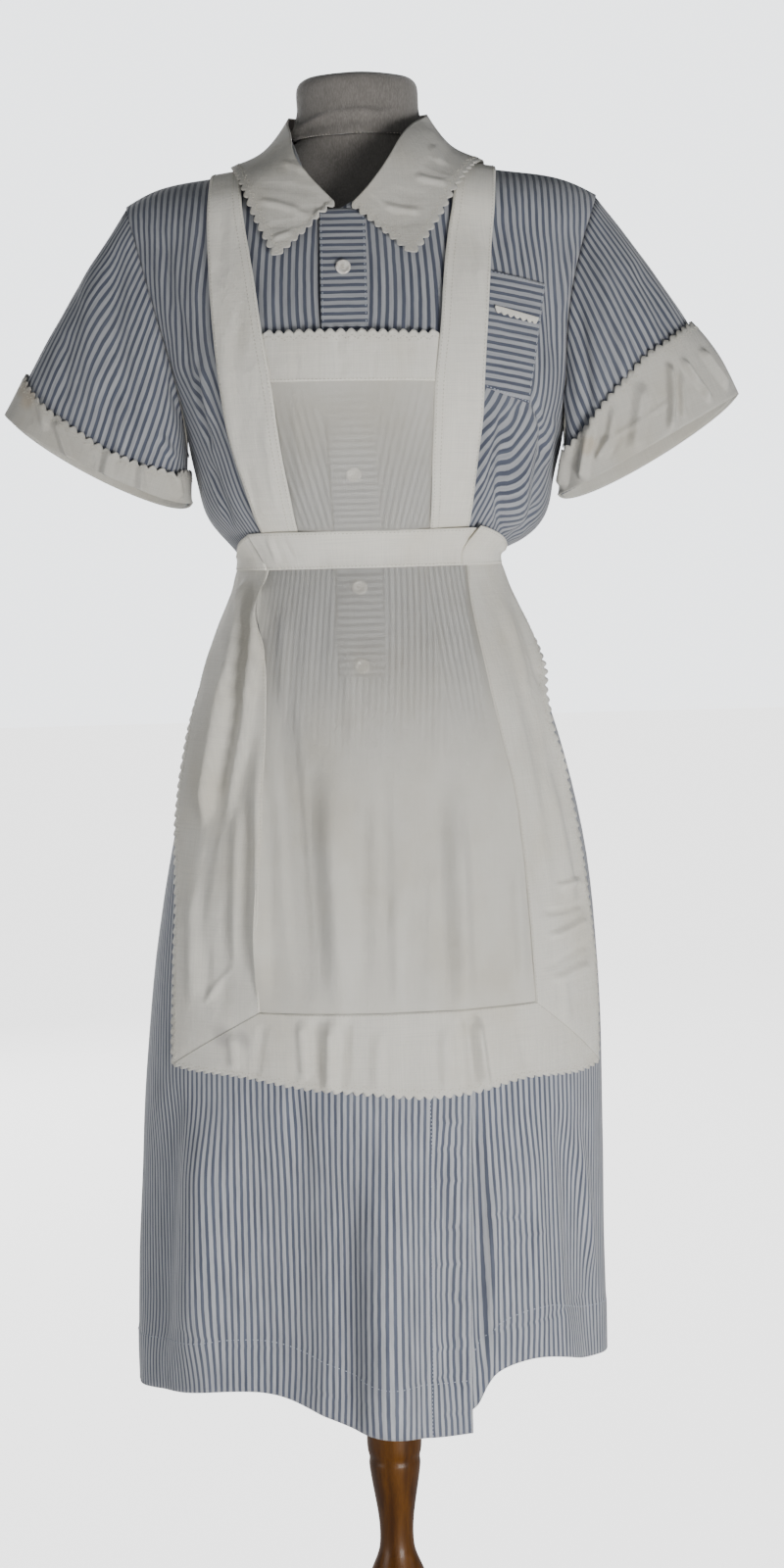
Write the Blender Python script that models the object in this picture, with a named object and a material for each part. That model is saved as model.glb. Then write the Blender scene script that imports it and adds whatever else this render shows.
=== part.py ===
"""A short-sleeved maid dress with its bib apron, on a limbless dress form.

Metres, +Z up. The origin is on the floor under the form's pole, X runs to the viewer's right
and the front of the dress faces -Y. Left and right are the viewer's. A piece of cloth is
a grid of points on the garment's form, and a second layer of the same grid moved out or in
along its normals, joined round the edges into one thin closed wall.
"""
import math

import bmesh
import bpy
from mathutils import Vector
from mathutils.bvhtree import BVHTree
from mathutils.kdtree import KDTree

# Thickness of the cloth, and how far pieces stay apart
CLOTH = 0.0012
DOUBLED = 0.0016
SEAM = 0.0002
CLOSE = 0.0008

# Scalloped edging
SCALLOP_PITCH = 0.009
SCALLOP_DEPTH = 0.0025

# Heights of the garment
HEM_TOP = 0.352
WAIST = 1.100
NECK_POINT = 1.470
NECK_HALF_WIDTH = 0.0615
NAPE = 1.458
NAPE_DEPTH = 0.060

# Button band
PLACKET_WIDTH = 0.039
PLACKET_TOP = 1.393
UNDERLAP = 0.034
NECKLINE_HASTE = 0.45
BUTTON_RADIUS = 0.0065
BUTTON_THICKNESS = 0.0024
BUTTON_HEIGHTS = (1.342, 1.255, 1.168, 1.072, 1.005)

# Waistband and ties of the apron
BAND_BOTTOM = 1.0885
BAND_TOP = 1.1205
BIB_BOTTOM = BAND_TOP + 0.0010
BAND_END_LEFT = 50
BAND_END_RIGHT = 46
TIE_HEIGHT = 0.014
KNOT_SIZE = (0.034, 0.014, 0.026)
KNOT_GAP = 0.0023
TAIL_WIDTH = 0.022
TAIL_LENGTH = 0.24
TAIL_LIFT = 0.0028

# The wooden stand
POLE_TOP = 0.7397
BASE_TOP = 0.0457
SEAT_GAP = 0.0003

PIECES = []


class Table:
    """Rows of named columns, read between its rows along a smooth curve."""

    def __init__(self, names, *rows):
        self.names = names.split()
        self.rows = sorted(rows)

    def at(self, key, name):
        column = self.names.index(name)
        keys = [row[0] for row in self.rows]
        values = [row[column] for row in self.rows]
        if key <= keys[0]:
            return values[0]
        if key >= keys[-1]:
            return values[-1]
        place = max(i for i in range(len(keys) - 1) if keys[i] <= key)
        slopes = [self.slope(keys, values, i) for i in (place, place + 1)]
        span = keys[place + 1] - keys[place]
        t = (key - keys[place]) / span
        rise = values[place + 1] - values[place]
        eased = t * t * (3 - 2 * t)
        bend = slopes[0] * span * t * (1 - t) ** 2 - slopes[1] * span * t * t * (1 - t)
        return values[place] + rise * eased + bend

    @staticmethod
    def slope(keys, values, i):
        """Slope at a row, level at a peak, so that the curve never overshoots."""
        if i in (0, len(keys) - 1):
            return 0.0 if i else (values[1] - values[0]) / (keys[1] - keys[0])
        before = (values[i] - values[i - 1]) / (keys[i] - keys[i - 1])
        after = (values[i + 1] - values[i]) / (keys[i + 1] - keys[i])
        if before * after <= 0:
            return 0.0
        return 2 * before * after / (before + after)


# Rows of the bodice from the waist up. The centre is where the fronts close, and the edge
# is the side seam up to the armpit at level 4, then the armhole seam.
BODICE = Table(
    "level centre_z front back edge_z left right edge_front edge_back turn",
    (0, 1.100, 0.090, 0.082, 1.100, 0.116, 0.115, 0.000, 0.000, 90),
    (1, 1.116, 0.096, 0.085, 1.113, 0.125, 0.143, 0.000, 0.000, 90),
    (2, 1.140, 0.114, 0.096, 1.136, 0.146, 0.162, 0.000, 0.000, 90),
    (3, 1.170, 0.130, 0.103, 1.164, 0.151, 0.165, 0.000, 0.000, 90),
    (4, 1.205, 0.138, 0.105, 1.190, 0.157, 0.173, 0.000, 0.000, 86),
    (5, 1.250, 0.143, 0.106, 1.228, 0.160, 0.176, 0.036, 0.034, 76),
    (6, 1.295, 0.138, 0.107, 1.275, 0.170, 0.176, 0.049, 0.046, 68),
    (7, 1.345, 0.122, 0.106, 1.325, 0.184, 0.182, 0.046, 0.044, 62),
    (8, 1.392, 0.100, 0.098, 1.372, 0.196, 0.195, 0.031, 0.030, 58),
)
CHEST_LEVEL = 8
SHOULDER_LEVEL = 10
SHOULDER_LEFT = 0.207
SHOULDER_RIGHT = 0.209
SHOULDER = Table(
    "out height",
    (0.0615, 1.470),
    (0.075, 1.453),
    (0.090, 1.442),
    (0.110, 1.4365),
    (0.130, 1.434),
    (0.150, 1.4315),
    (0.170, 1.4285),
    (0.190, 1.422),
    (0.209, 1.411),
)
LOW_LEVELS = (0, 0.4, 0.8, 1.4, 2.1, 3)
ARM_LEVELS = (4, 4.5, 5.1, 5.8, 6.5, 7.2, 8, 8.2, 8.7, 9.3, 10)
LEVELS = LOW_LEVELS + ARM_LEVELS

# Where the fronts close, which leans to the left because the body is turned that way
CENTRE = Table(
    "height x",
    (0.990, -0.008),
    (1.100, -0.009),
    (1.200, -0.012),
    (1.300, -0.015),
    (1.392, -0.015),
)

# Soft folds where the bodice blouses over the waist: where across a half front, and how deep
BLOUSE_FOLDS = {
    "left": ((0.50, 0.09, 0.003), (0.72, 0.08, -0.004), (0.88, 0.07, 0.003)),
    "right": ((0.40, 0.08, -0.003), (0.56, 0.09, 0.005), (0.72, 0.08, -0.005), (0.86, 0.07, 0.005)),
    "back": ((0.25, 0.10, 0.004), (0.45, 0.09, -0.004), (0.66, 0.09, 0.004), (0.85, 0.08, -0.003)),
}

# Rings of the skirt
SKIRT = Table(
    "height left right front back power",
    (0.345, 0.230, 0.196, 0.168, 0.168, 1.72),
    (0.375, 0.231, 0.197, 0.167, 0.168, 1.72),
    (0.500, 0.226, 0.197, 0.160, 0.163, 1.80),
    (0.650, 0.215, 0.197, 0.150, 0.155, 1.90),
    (0.780, 0.199, 0.194, 0.141, 0.146, 2.00),
    (0.850, 0.184, 0.185, 0.134, 0.141, 2.00),
    (0.900, 0.172, 0.177, 0.128, 0.135, 2.00),
    (0.950, 0.158, 0.162, 0.121, 0.127, 2.00),
    (1.000, 0.143, 0.143, 0.113, 0.115, 2.00),
    (1.034, 0.135, 0.132, 0.106, 0.104, 2.00),
    (1.062, 0.124, 0.122, 0.098, 0.093, 2.00),
    (1.084, 0.118, 0.1165, 0.092, 0.086, 2.00),
    (1.100, 0.116, 0.115, 0.090, 0.082, 2.00),
)
SKIRT_HEIGHTS = (0.0, 0.06, 0.16, 0.28, 0.42, 0.56, 0.69, 0.80, 0.88, 0.94, 0.98, 1.0)
LAP_ANGLE = 24
UNDERLAP_ANGLE = 13
UNDERLAP_DROP = 0.0035
RIGHT_ANGLES = (UNDERLAP_ANGLE, 20, 27, 29, 36, 42, 48, 54, 60, 66, 72, 78, 84, 90)

# The hem's height round the skirt, by the angle from the front towards the right
HEM_LEFT = Table(
    "angle height",
    (-180, 0.352),
    (-90, 0.352),
    (-58, 0.364),
    (-36, 0.376),
    (-22, 0.366),
    (-6, 0.350),
    (24, 0.3425),
)
HEM_RIGHT = Table(
    "angle height",
    (13, 0.356),
    (27, 0.361),
    (29, 0.386),
    (42, 0.398),
    (52, 0.391),
    (66, 0.378),
    (90, 0.370),
    (130, 0.356),
    (180, 0.352),
)

# Folds of the skirt: depth out of its rings at the hem, fading up to the fold's top
SKIRT_FOLDS = (
    # angle, half width, depth, top
    (-2, 24, 0.009, 0.76),
    (-30, 15, -0.013, 0.74),
    (-50, 11, 0.006, 0.66),
    (-68, 10, -0.007, 0.64),
    (34, 9, -0.007, 0.66),
    (51, 10, 0.006, 0.66),
    (69, 9, -0.006, 0.64),
    (106, 12, -0.009, 0.95),
    (127, 12, 0.008, 0.90),
    (149, 13, -0.013, 1.00),
    (172, 13, 0.010, 0.92),
    (-165, 12, -0.012, 1.02),
    (-142, 12, 0.009, 0.94),
    (-120, 12, -0.011, 0.98),
    (-99, 10, 0.006, 0.80),
)

# The apron's skirt: angles of its edges and of its doubled bands, both ways from the front
APRON = Table(
    "height left right left_band right_band lift",
    (0.640, 56, 69, 29, 41, 0.0080),
    (0.710, 57, 69, 29, 41, 0.0080),
    (0.780, 59, 67, 29, 40, 0.0075),
    (0.850, 68, 67, 30, 40, 0.0070),
    (0.900, 75, 66, 32, 40, 0.0065),
    (0.950, 79, 65, 34, 39, 0.0068),
    (1.000, 91, 76, 37, 39, 0.0072),
    (1.060, 106, 98, 43, 41, 0.0040),
    (BAND_BOTTOM, 112, 110, 47, 45, 0.0027),
)
APRON_HEM = Table(
    "angle height",
    (-60, 0.660),
    (-44, 0.657),
    (-34, 0.656),
    (-20, 0.648),
    (0, 0.642),
    (12, 0.638),
    (24, 0.640),
    (37, 0.648),
    (58, 0.644),
    (70, 0.647),
)
APRON_BAND_HEIGHT = 0.068
APRON_BAND_CELLS = 4
BUTTON_ROOM = 0.0055
APRON_FOLDS = (
    # angle at the waist, angle at the hem, half width, depth, top, bottom
    (-44, -52, 7, 0.006, 1.08, 0.74),
    (-62, -60, 7, -0.004, 1.08, 0.78),
    (-84, -72, 8, 0.004, 1.08, 0.82),
    (-30, -33, 6, -0.003, 1.07, 0.66),
    (42, 47, 6, 0.006, 1.08, 0.70),
    (58, 58, 7, -0.004, 1.08, 0.72),
    (80, 70, 8, 0.004, 1.08, 0.82),
)

# Straps: the way they are laid on, the place along it, and their edges out from the middle
STRAP_LEFT = (
    # laid from, place, inner, outer
    ("front", BIB_BOTTOM, 0.060, 0.092),
    ("front", 1.150, 0.064, 0.100),
    ("front", 1.180, 0.069, 0.109),
    ("front", 1.210, 0.073, 0.116),
    ("front", 1.245, 0.077, 0.121),
    ("front", 1.291, 0.084, 0.1255),
    ("front", 1.330, 0.089, 0.128),
    ("front", 1.365, 0.0945, 0.1295),
    ("front", 1.395, 0.099, 0.129),
    ("front", 1.421, 0.100, 0.128),
    ("top", -0.046, 0.101, 0.128),
    ("top", -0.013, 0.102, 0.128),
    ("top", 0.016, 0.102, 0.128),
    ("top", 0.046, 0.101, 0.128),
    ("back", 1.421, 0.100, 0.128),
    ("back", 1.395, 0.099, 0.128),
    ("back", 1.350, 0.094, 0.126),
    ("back", 1.300, 0.088, 0.122),
    ("back", 1.250, 0.081, 0.117),
    ("back", 1.200, 0.073, 0.110),
    ("back", 1.150, 0.064, 0.099),
    ("back", 1.106, 0.055, 0.086),
)
STRAP_RIGHT = (
    ("front", BIB_BOTTOM, 0.052, 0.086),
    ("front", 1.150, 0.054, 0.090),
    ("front", 1.180, 0.055, 0.094),
    ("front", 1.210, 0.0565, 0.098),
    ("front", 1.245, 0.0585, 0.101),
    ("front", 1.291, 0.065, 0.1045),
    ("front", 1.330, 0.0685, 0.1075),
    ("front", 1.365, 0.073, 0.111),
    ("front", 1.395, 0.078, 0.1145),
    ("front", 1.421, 0.082, 0.117),
    ("top", -0.046, 0.085, 0.118),
    ("top", -0.013, 0.087, 0.119),
    ("top", 0.016, 0.087, 0.119),
    ("top", 0.046, 0.086, 0.119),
    ("back", 1.421, 0.086, 0.119),
    ("back", 1.395, 0.085, 0.118),
    ("back", 1.350, 0.082, 0.116),
    ("back", 1.300, 0.079, 0.113),
    ("back", 1.250, 0.074, 0.109),
    ("back", 1.200, 0.068, 0.104),
    ("back", 1.150, 0.061, 0.096),
    ("back", 1.106, 0.054, 0.086),
)
STRAP_LIFT = 0.0022
BIB_LIFT = 0.0070
BIB_BAND_BOTTOM = 1.247
BIB_TOP = 1.2865
BIB_SLANT = 0.020

# The chest pocket's corners on the front, as x and height
POCKET = {"top": ((0.099, 1.341), (0.157, 1.328)), "bottom": ((0.096, 1.241), (0.139, 1.226))}
POCKET_BAND = 0.29
TRIM_HEIGHT = 0.0035
TRIM_PITCH = 0.0075
TRIM_POINT = 0.004

# Half a collar from the nape to the front: its fold at the neck, then its outer edge
COLLAR = Table(
    "along fold_x fold_y fold_z edge_x edge_y edge_z roll",
    (0.00, 0.0000, 0.0620, 1.488, 0.0000, 0.1020, 1.428, 0.003),
    (0.22, 0.0390, 0.0500, 1.489, 0.0620, 0.0900, 1.432, 0.000),
    (0.42, 0.0600, 0.0120, 1.486, 0.1060, 0.0450, 1.436, -0.010),
    (0.55, 0.0600, -0.0190, 1.480, 0.1080, -0.0100, 1.440, -0.010),
    (0.70, 0.0490, -0.0520, 1.453, 0.0960, -0.0690, 1.424, -0.002),
    (0.85, 0.0360, -0.0790, 1.424, 0.0790, -0.0970, 1.389, 0.002),
    (1.00, 0.0060, -0.0990, 1.3955, 0.0580, -0.1170, 1.352, 0.002),
)
COLLAR_LEAN = 0.014
COLLAR_ROWS = (0, 0.2, 0.45, 0.72, 1.0)
STRAP_ROOM = 0.0040
PLACKET_ROOM = 0.0016

# The lower ends of the sleeves, as the middle of each cuff and the reach to its outer tip
CUFF_LEFT = {
    "middle": (-0.2395, -0.004, 1.1915),
    "reach": (-0.0800, 0.0, 0.0415),
    "depth": 0.052,
    "sag_front": 0.011,
    "sag_back": 0.021,
    "flare": 0.0,
}
CUFF_RIGHT = {
    "middle": (0.2510, -0.004, 1.1905),
    "reach": (0.0790, 0.0, 0.0425),
    "depth": 0.052,
    "sag_front": 0.001,
    "sag_back": 0.018,
    "flare": 0.007,
}
SLEEVE_BULGE = 0.012
ARMPIT_ROOM = 0.0022

# How far down the sleeve the cuff's scalloped edge lies, round it from the outer side
CUFF_START = Table(
    "around left right",
    (0.000, 0.82, 0.68),
    (0.125, 0.86, 0.65),
    (0.250, 0.88, 0.62),
    (0.375, 0.76, 0.57),
    (0.500, 0.42, 0.50),
    (0.625, 0.66, 0.58),
    (0.750, 0.80, 0.66),
    (1.000, 0.82, 0.68),
)
SLEEVE_STEPS = (0.0, 0.17, 0.38, 0.60, 0.82, 1.0)
CUFF_STEPS = (1.0, 0.5, 0.0)
CUFF_INSIDE = (0.5, 0.985)
CUFF_GAP = 0.0018

# The form's sections below its neck
FORM = Table(
    "height left right front back",
    (0.740, 0.120, 0.120, 0.080, 0.090),
    (0.750, 0.140, 0.140, 0.095, 0.105),
    (0.790, 0.152, 0.152, 0.102, 0.114),
    (0.880, 0.156, 0.156, 0.107, 0.119),
    (0.960, 0.144, 0.142, 0.101, 0.113),
    (1.040, 0.116, 0.114, 0.086, 0.090),
    (1.100, 0.103, 0.102, 0.076, 0.070),
    (1.150, 0.112, 0.116, 0.093, 0.078),
    (1.210, 0.132, 0.136, 0.119, 0.092),
    (1.260, 0.142, 0.144, 0.127, 0.095),
    (1.320, 0.160, 0.158, 0.112, 0.096),
    (1.365, 0.172, 0.171, 0.092, 0.088),
    (1.395, 0.170, 0.171, 0.072, 0.074),
    (1.415, 0.144, 0.146, 0.061, 0.066),
    (1.430, 0.100, 0.101, 0.054, 0.060),
    (1.445, 0.074, 0.074, 0.049, 0.056),
    (1.455, 0.064, 0.064, 0.049, 0.055),
    (1.462, 0.0560, 0.0560, 0.052, 0.054),
)
FORM_HEIGHTS = (
    0.740, 0.750, 0.790, 0.850, 0.920, 0.990, 1.050, 1.110, 1.160, 1.210,
    1.260, 1.305, 1.345, 1.380, 1.400, 1.415, 1.430, 1.445, 1.455, 1.4627,
)
FORM_CLEARANCE = 0.0009
FORM_SIDES = 24
NECK = Table(
    "height radius",
    (1.463, 0.0550),
    (1.485, 0.0538),
    (1.503, 0.0545),
    (1.512, 0.0530),
    (1.516, 0.0485),
    (1.518, 0.0380),
    (1.519, 0.0180),
)
NECK_HEIGHTS = (1.463, 1.485, 1.503, 1.510, 1.515, 1.5175, 1.519)

# The turned pole and base, as heights and radii
POLE_PROFILE = (
    (POLE_TOP, 0.026),
    (0.300, 0.026),
    (0.281, 0.0258),
    (0.2765, 0.0240),
    (0.2735, 0.0236),
    (0.2705, 0.0240),
    (0.267, 0.0246),
    (0.245, 0.0212),
    (0.225, 0.0176),
    (0.208, 0.0157),
    (0.192, 0.0158),
    (0.181, 0.0180),
    (0.172, 0.0225),
    (0.162, 0.0275),
    (0.140, 0.0330),
    (0.115, 0.0345),
    (0.090, 0.0320),
    (0.074, 0.0280),
    (0.066, 0.0300),
    (0.058, 0.0420),
    (BASE_TOP + SEAT_GAP, 0.0450),
)
BASE_PROFILE = (
    (BASE_TOP, 0.060),
    (0.042, 0.080),
    (0.033, 0.140),
    (0.026, 0.172),
    (0.021, 0.180),
    (0.012, 0.183),
    (0.004, 0.181),
    (0.000, 0.176),
)
TURNED_SIDES = 16


def finish(name, colour, roughness):
    """A plain material in the piece's own colour."""
    material = bpy.data.materials.new(name)
    material.use_nodes = True
    shader = material.node_tree.nodes["Principled BSDF"]
    shader.inputs["Base Color"].default_value = (*colour, 1.0)
    shader.inputs["Roughness"].default_value = roughness
    shader.inputs["Metallic"].default_value = 0.0
    material.diffuse_color = (*colour, 1.0)
    return material


def ring_point(table, height, angle):
    """A point on a table's ring at an angle from the front, towards the right."""
    turn = math.radians(angle)
    side = "right" if math.sin(turn) > 0 else "left"
    face = "front" if math.cos(turn) > 0 else "back"
    power = 2 / table.at(height, "power") if "power" in table.names else 1.0
    across = abs(math.sin(turn)) ** power
    along = abs(math.cos(turn)) ** power
    x = math.copysign(table.at(height, side) * across, math.sin(turn))
    y = math.copysign(table.at(height, face) * along, -math.cos(turn))
    return Vector((x, y, height))


def hump(value, middle, half_width):
    """One at the middle, easing to nothing a half width away."""
    distance = abs(value - middle) / half_width
    return 0.5 + 0.5 * math.cos(math.pi * distance) if distance < 1 else 0.0


def angle_from(angle, middle):
    """The signed way round from one angle to another."""
    return (angle - middle + 180) % 360 - 180


def axis_point(point):
    """The point of the form's upright axis at a point's height."""
    return Vector((0, 0, point.z))


def grid_normals(grid, closed, core):
    """Unit normals of a grid of points, all to the side away from the core."""
    rows, columns = len(grid), len(grid[0])
    normals = []
    facing = 0.0
    for i in range(rows):
        line = []
        for j in range(columns):
            up = grid[min(i + 1, rows - 1)][j] - grid[max(i - 1, 0)][j]
            ahead = (j + 1) % columns if closed else min(j + 1, columns - 1)
            behind = (j - 1) % columns if closed else max(j - 1, 0)
            normal = (grid[i][ahead] - grid[i][behind]).cross(up).normalized()
            facing += normal.dot((grid[i][j] - core(grid[i][j])).normalized())
            line.append(normal)
        normals.append(line)
    if facing < 0:
        normals = [[-normal for normal in line] for line in normals]
    return normals


class Cloth:
    """A piece of cloth, as a grid of points on one face and the way out at each point.

    seams are the sides that stop short of a neighbour, and scallops the sides with edging:
    bottom and top are the first and last rows, start and end the first and last columns.
    A level row is cut off square, with its way out kept horizontal.
    """

    def __init__(self, name, grid, look, thick=CLOTH, closed=False, core=axis_point, seams="",
                 scallops="", level="", outward=False, pitch=SCALLOP_PITCH,
                 depth=SCALLOP_DEPTH):
        self.name = name
        self.grid = grid
        self.look = look
        self.thick = thick if outward else -thick
        self.closed = closed
        self.seams = seams.split()
        self.scallops = scallops.split()
        self.pitch = pitch
        self.depth = depth
        self.normals = grid_normals(grid, closed, core)
        for row in level.split():
            for normal in self.normals[0 if row == "bottom" else -1]:
                normal.z = 0.0
                normal.normalize()
        PIECES.append(self)

    def outer(self):
        """The grid of the face that shows."""
        if self.thick < 0:
            return self.grid
        return moved(self.grid, self.normals, self.thick)

    def border(self):
        """Row and column of each point on the grid's edges."""
        rows, columns = len(self.grid), len(self.grid[0])
        for i in range(rows):
            for j in range(columns):
                on_side = j in (0, columns - 1) and not self.closed
                if i in (0, rows - 1) or on_side:
                    yield i, j

    def pulled_in(self, grid):
        """The grid with its seam edges a little short of their seams."""
        grid = [[point.copy() for point in line] for line in grid]
        rows, columns = len(grid), len(grid[0])
        ends = {"bottom": (0, 1), "top": (rows - 1, rows - 2)}
        sides = {"start": (0, 1), "end": (columns - 1, columns - 2)}
        for seam in self.seams:
            if seam in ends:
                edge, inner = ends[seam]
                for j in range(columns):
                    grid[edge][j] += (grid[inner][j] - grid[edge][j]).normalized() * SEAM
            else:
                edge, inner = sides[seam]
                for i in range(rows):
                    grid[i][edge] += (grid[i][inner] - grid[i][edge]).normalized() * SEAM
        return grid

    def build(self):
        """Two layers of faces and the walls between their edges, as one closed body."""
        near = self.pulled_in(self.grid)
        far = self.pulled_in(moved(self.grid, self.normals, self.thick))
        rows, columns = len(near), len(near[0])
        shape = bmesh.new()
        layers = [[[shape.verts.new(p) for p in line] for line in grid] for grid in (near, far)]
        edging = {}

        def path(layer, first, second):
            """The vertices along a cell's side, with the scallops that it carries."""
            if (layer, first, second) in edging:
                return edging[layer, first, second]
            points = layers[layer]
            run = [points[first[0]][first[1]]]
            side = self.side_of(first, second, rows, columns)
            if side in self.scallops:
                inward = {"bottom": (1, 0), "top": (-1, 0), "start": (0, 1), "end": (0, -1)}[side]
                a, b = points[first[0]][first[1]].co, points[second[0]][second[1]].co
                inner = points[first[0] + inward[0]][first[1] + inward[1]].co
                away = (a - inner)
                away -= (b - a) * (away.dot(b - a) / (b - a).length_squared)
                away.normalize()
                near_a = layers[0][first[0]][first[1]].co
                near_b = layers[0][second[0]][second[1]].co
                count = max(1, round((near_b - near_a).length / self.pitch))
                for step in range(1, 2 * count):
                    push = self.depth if step % 2 else 0.0
                    run.append(shape.verts.new(a.lerp(b, step / (2 * count)) + away * push))
            run.append(points[second[0]][second[1]])
            edging[layer, first, second] = run
            edging[layer, second, first] = run[::-1]
            return run

        wide = columns if self.closed else columns - 1
        for i in range(rows - 1):
            for j in range(wide):
                after = (j + 1) % columns
                corners = [(i, j), (i, after), (i + 1, after), (i + 1, j)]
                for layer in (0, 1):
                    loop = []
                    for first, second in zip(corners, corners[1:] + corners[:1]):
                        loop += path(layer, first, second)[:-1]
                    shape.faces.new(loop)
                for first, second in zip(corners, corners[1:] + corners[:1]):
                    if self.side_of(first, second, rows, columns):
                        lower, upper = path(0, first, second), path(1, first, second)
                        for k in range(len(lower) - 1):
                            shape.faces.new((lower[k], lower[k + 1], upper[k + 1], upper[k]))
        bmesh.ops.recalc_face_normals(shape, faces=shape.faces)
        return make_object(self.name, shape, self.look)

    def side_of(self, first, second, rows, columns):
        """The name of the edge that a cell's side lies on, or nothing inside the grid."""
        if first[0] == second[0]:
            return {0: "bottom", rows - 1: "top"}.get(first[0], "")
        if self.closed:
            return ""
        return {0: "start", columns - 1: "end"}.get(first[1], "")


def make_object(name, shape, look, smooth=40):
    """A named object with its own material, shaded smooth between sharp edges."""
    mesh = bpy.data.meshes.new(name)
    shape.to_mesh(mesh)
    shape.free()
    mesh.shade_smooth()
    mesh.set_sharp_from_angle(angle=math.radians(smooth))
    mesh.materials.append(look)
    made = bpy.data.objects.new(name, mesh)
    bpy.context.collection.objects.link(made)
    return made


def moved(grid, normals, distance):
    """A copy of the grid moved along its normals."""
    return [
        [point + normal * distance for point, normal in zip(line, ways)]
        for line, ways in zip(grid, normals)
    ]


def share_normals(panels):
    """Panels that meet at a seam get one way out there, so that their walls meet in a mitre."""
    borders = [(panel, i, j) for panel in panels for i, j in panel.border()]
    tree = KDTree(len(borders))
    for index, (panel, i, j) in enumerate(borders):
        tree.insert(panel.grid[i][j], index)
    tree.balance()
    shared = []
    for panel, i, j in borders:
        found = [borders[index] for _, index, _ in tree.find_range(panel.grid[i][j], SEAM / 2)]
        total = sum((other.normals[k][m] for other, k, m in found), Vector())
        shared.append(total.normalized())
    for (panel, i, j), normal in zip(borders, shared):
        panel.normals[i][j] = normal


def face_of(cloth):
    """The face of a piece that shows, as its grid, the way out and whether it closes."""
    return cloth.outer(), cloth.normals, cloth.closed


def whole_front(left, right):
    """Both fronts as one face, without the slit that the placket covers."""
    grid = [a[::-1] + b for a, b in zip(left.outer(), right.outer())]
    normals = [a[::-1] + b for a, b in zip(left.normals, right.normals)]
    return grid, normals, False


def surface(*patches):
    """A tree over some faces of cloth, for laying other pieces on them."""
    points, faces = [], []
    for grid, normals, closed in patches:
        start = len(points)
        rows, columns = len(grid), len(grid[0])
        points += [point for line in grid for point in line]
        facing = (grid[0][1] - grid[0][0]).cross(grid[1][0] - grid[0][0])
        flip = facing.dot(normals[0][0]) < 0
        for i in range(rows - 1):
            for j in range(columns if closed else columns - 1):
                after = (j + 1) % columns
                loop = [(i, j), (i, after), (i + 1, after), (i + 1, j)]
                face = [start + r * columns + c for r, c in loop]
                faces.append(face[::-1] if flip else face)
    return BVHTree.FromPolygons(points, faces)


def settle(grid, tree, lift, passes=4):
    """Moves the points of a grid out until its cells lie clear of a surface all over.

    lift is one distance, or a function that gives it for a row and a column.
    """
    rows, columns = len(grid), len(grid[0])
    steps = ((0, 0, 0, 0), (0, 0, 1, 0), (0, 0, 0, 1), (0, 0, 1, 1), (1, 0, 0, 1))
    for _ in range(passes):
        for i in range(rows):
            for j in range(columns):
                clear = lift(i, j) if callable(lift) else lift
                for a, b, c, d in steps:
                    if i + max(a, c) < rows and j + max(b, d) < columns:
                        raise_clear([grid[i + a][j + b], grid[i + c][j + d]], tree, clear)
    return grid


def raise_clear(points, tree, lift):
    """Moves two points out together until their middle is clear of a surface."""
    middle = (points[0] + points[1]) / 2
    place, normal, _, distance = tree.find_nearest(middle)
    rise = (middle - place).dot(normal)
    beside = distance > 1.5 * abs(rise) + lift
    if rise < lift and not beside:
        shift = normal * (lift - rise)
        points[0] += shift
        if points[1] is not points[0]:
            points[1] += shift


def laid(tree, way, place, x, lift):
    """The point where a line from the front, the top or the back meets a surface."""
    starts = {
        "front": ((x, -1, place), (0, 1, 0)),
        "back": ((x, 1, place), (0, -1, 0)),
        "top": ((x, place, 2), (0, 0, -1)),
    }
    start, direction = starts[way]
    hit, normal, _, _ = tree.ray_cast(Vector(start), Vector(direction))
    return hit + normal * lift


def blouse(side, level, across):
    """How far the folds above the waist stand out of the bodice."""
    fade = math.sin(math.pi * min(level, 4.5) / 4.5)
    return fade * sum(depth * hump(across, *at) for *at, depth in BLOUSE_FOLDS[side])


def bodice_point(side, face, level, across):
    """A point of the bodice, across from the centre at 0 to the side or armhole at 1."""
    sign = -1 if side == "left" else 1
    low = min(level, CHEST_LEVEL)
    centre_z = BODICE.at(low, "centre_z")
    edge_z = BODICE.at(low, "edge_z")
    turn = math.radians(BODICE.at(low, "turn"))
    edge_x = sign * BODICE.at(low, side)
    start_x = 0.0
    facing = 1
    if face == "front":
        middle = CENTRE.at(centre_z, "x")
        start_x = middle - PLACKET_WIDTH / 2
        if side == "right":
            start_x += PLACKET_WIDTH - UNDERLAP
        facing = -1
    share = math.sin(across * turn) / math.sin(turn)
    bow = (1 - math.cos(across * turn)) / (1 - math.cos(turn))
    centre_y = BODICE.at(low, face)
    edge_y = BODICE.at(low, "edge_" + face)
    depth = centre_y + (edge_y - centre_y) * bow
    depth += blouse(side if face == "front" else "back", level, across)
    x = start_x + (edge_x - start_x) * share
    z = centre_z + (edge_z - centre_z) * share
    if level <= CHEST_LEVEL:
        return Vector((x, facing * depth, z))
    rise = math.radians(90) * (level - CHEST_LEVEL) / (SHOULDER_LEVEL - CHEST_LEVEL)
    top = shoulder_line(side, face, across)
    haste = 1.0
    if face == "front" and side == "right":
        haste = NECKLINE_HASTE + (1 - NECKLINE_HASTE) * min(1.0, 3 * across)
    x += (top.x - x) * math.sin(rise) ** haste
    z += (top.z - z) * math.sin(rise)
    y = top.y + (facing * depth - top.y) * math.cos(rise)
    return Vector((x, y, z))


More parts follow.
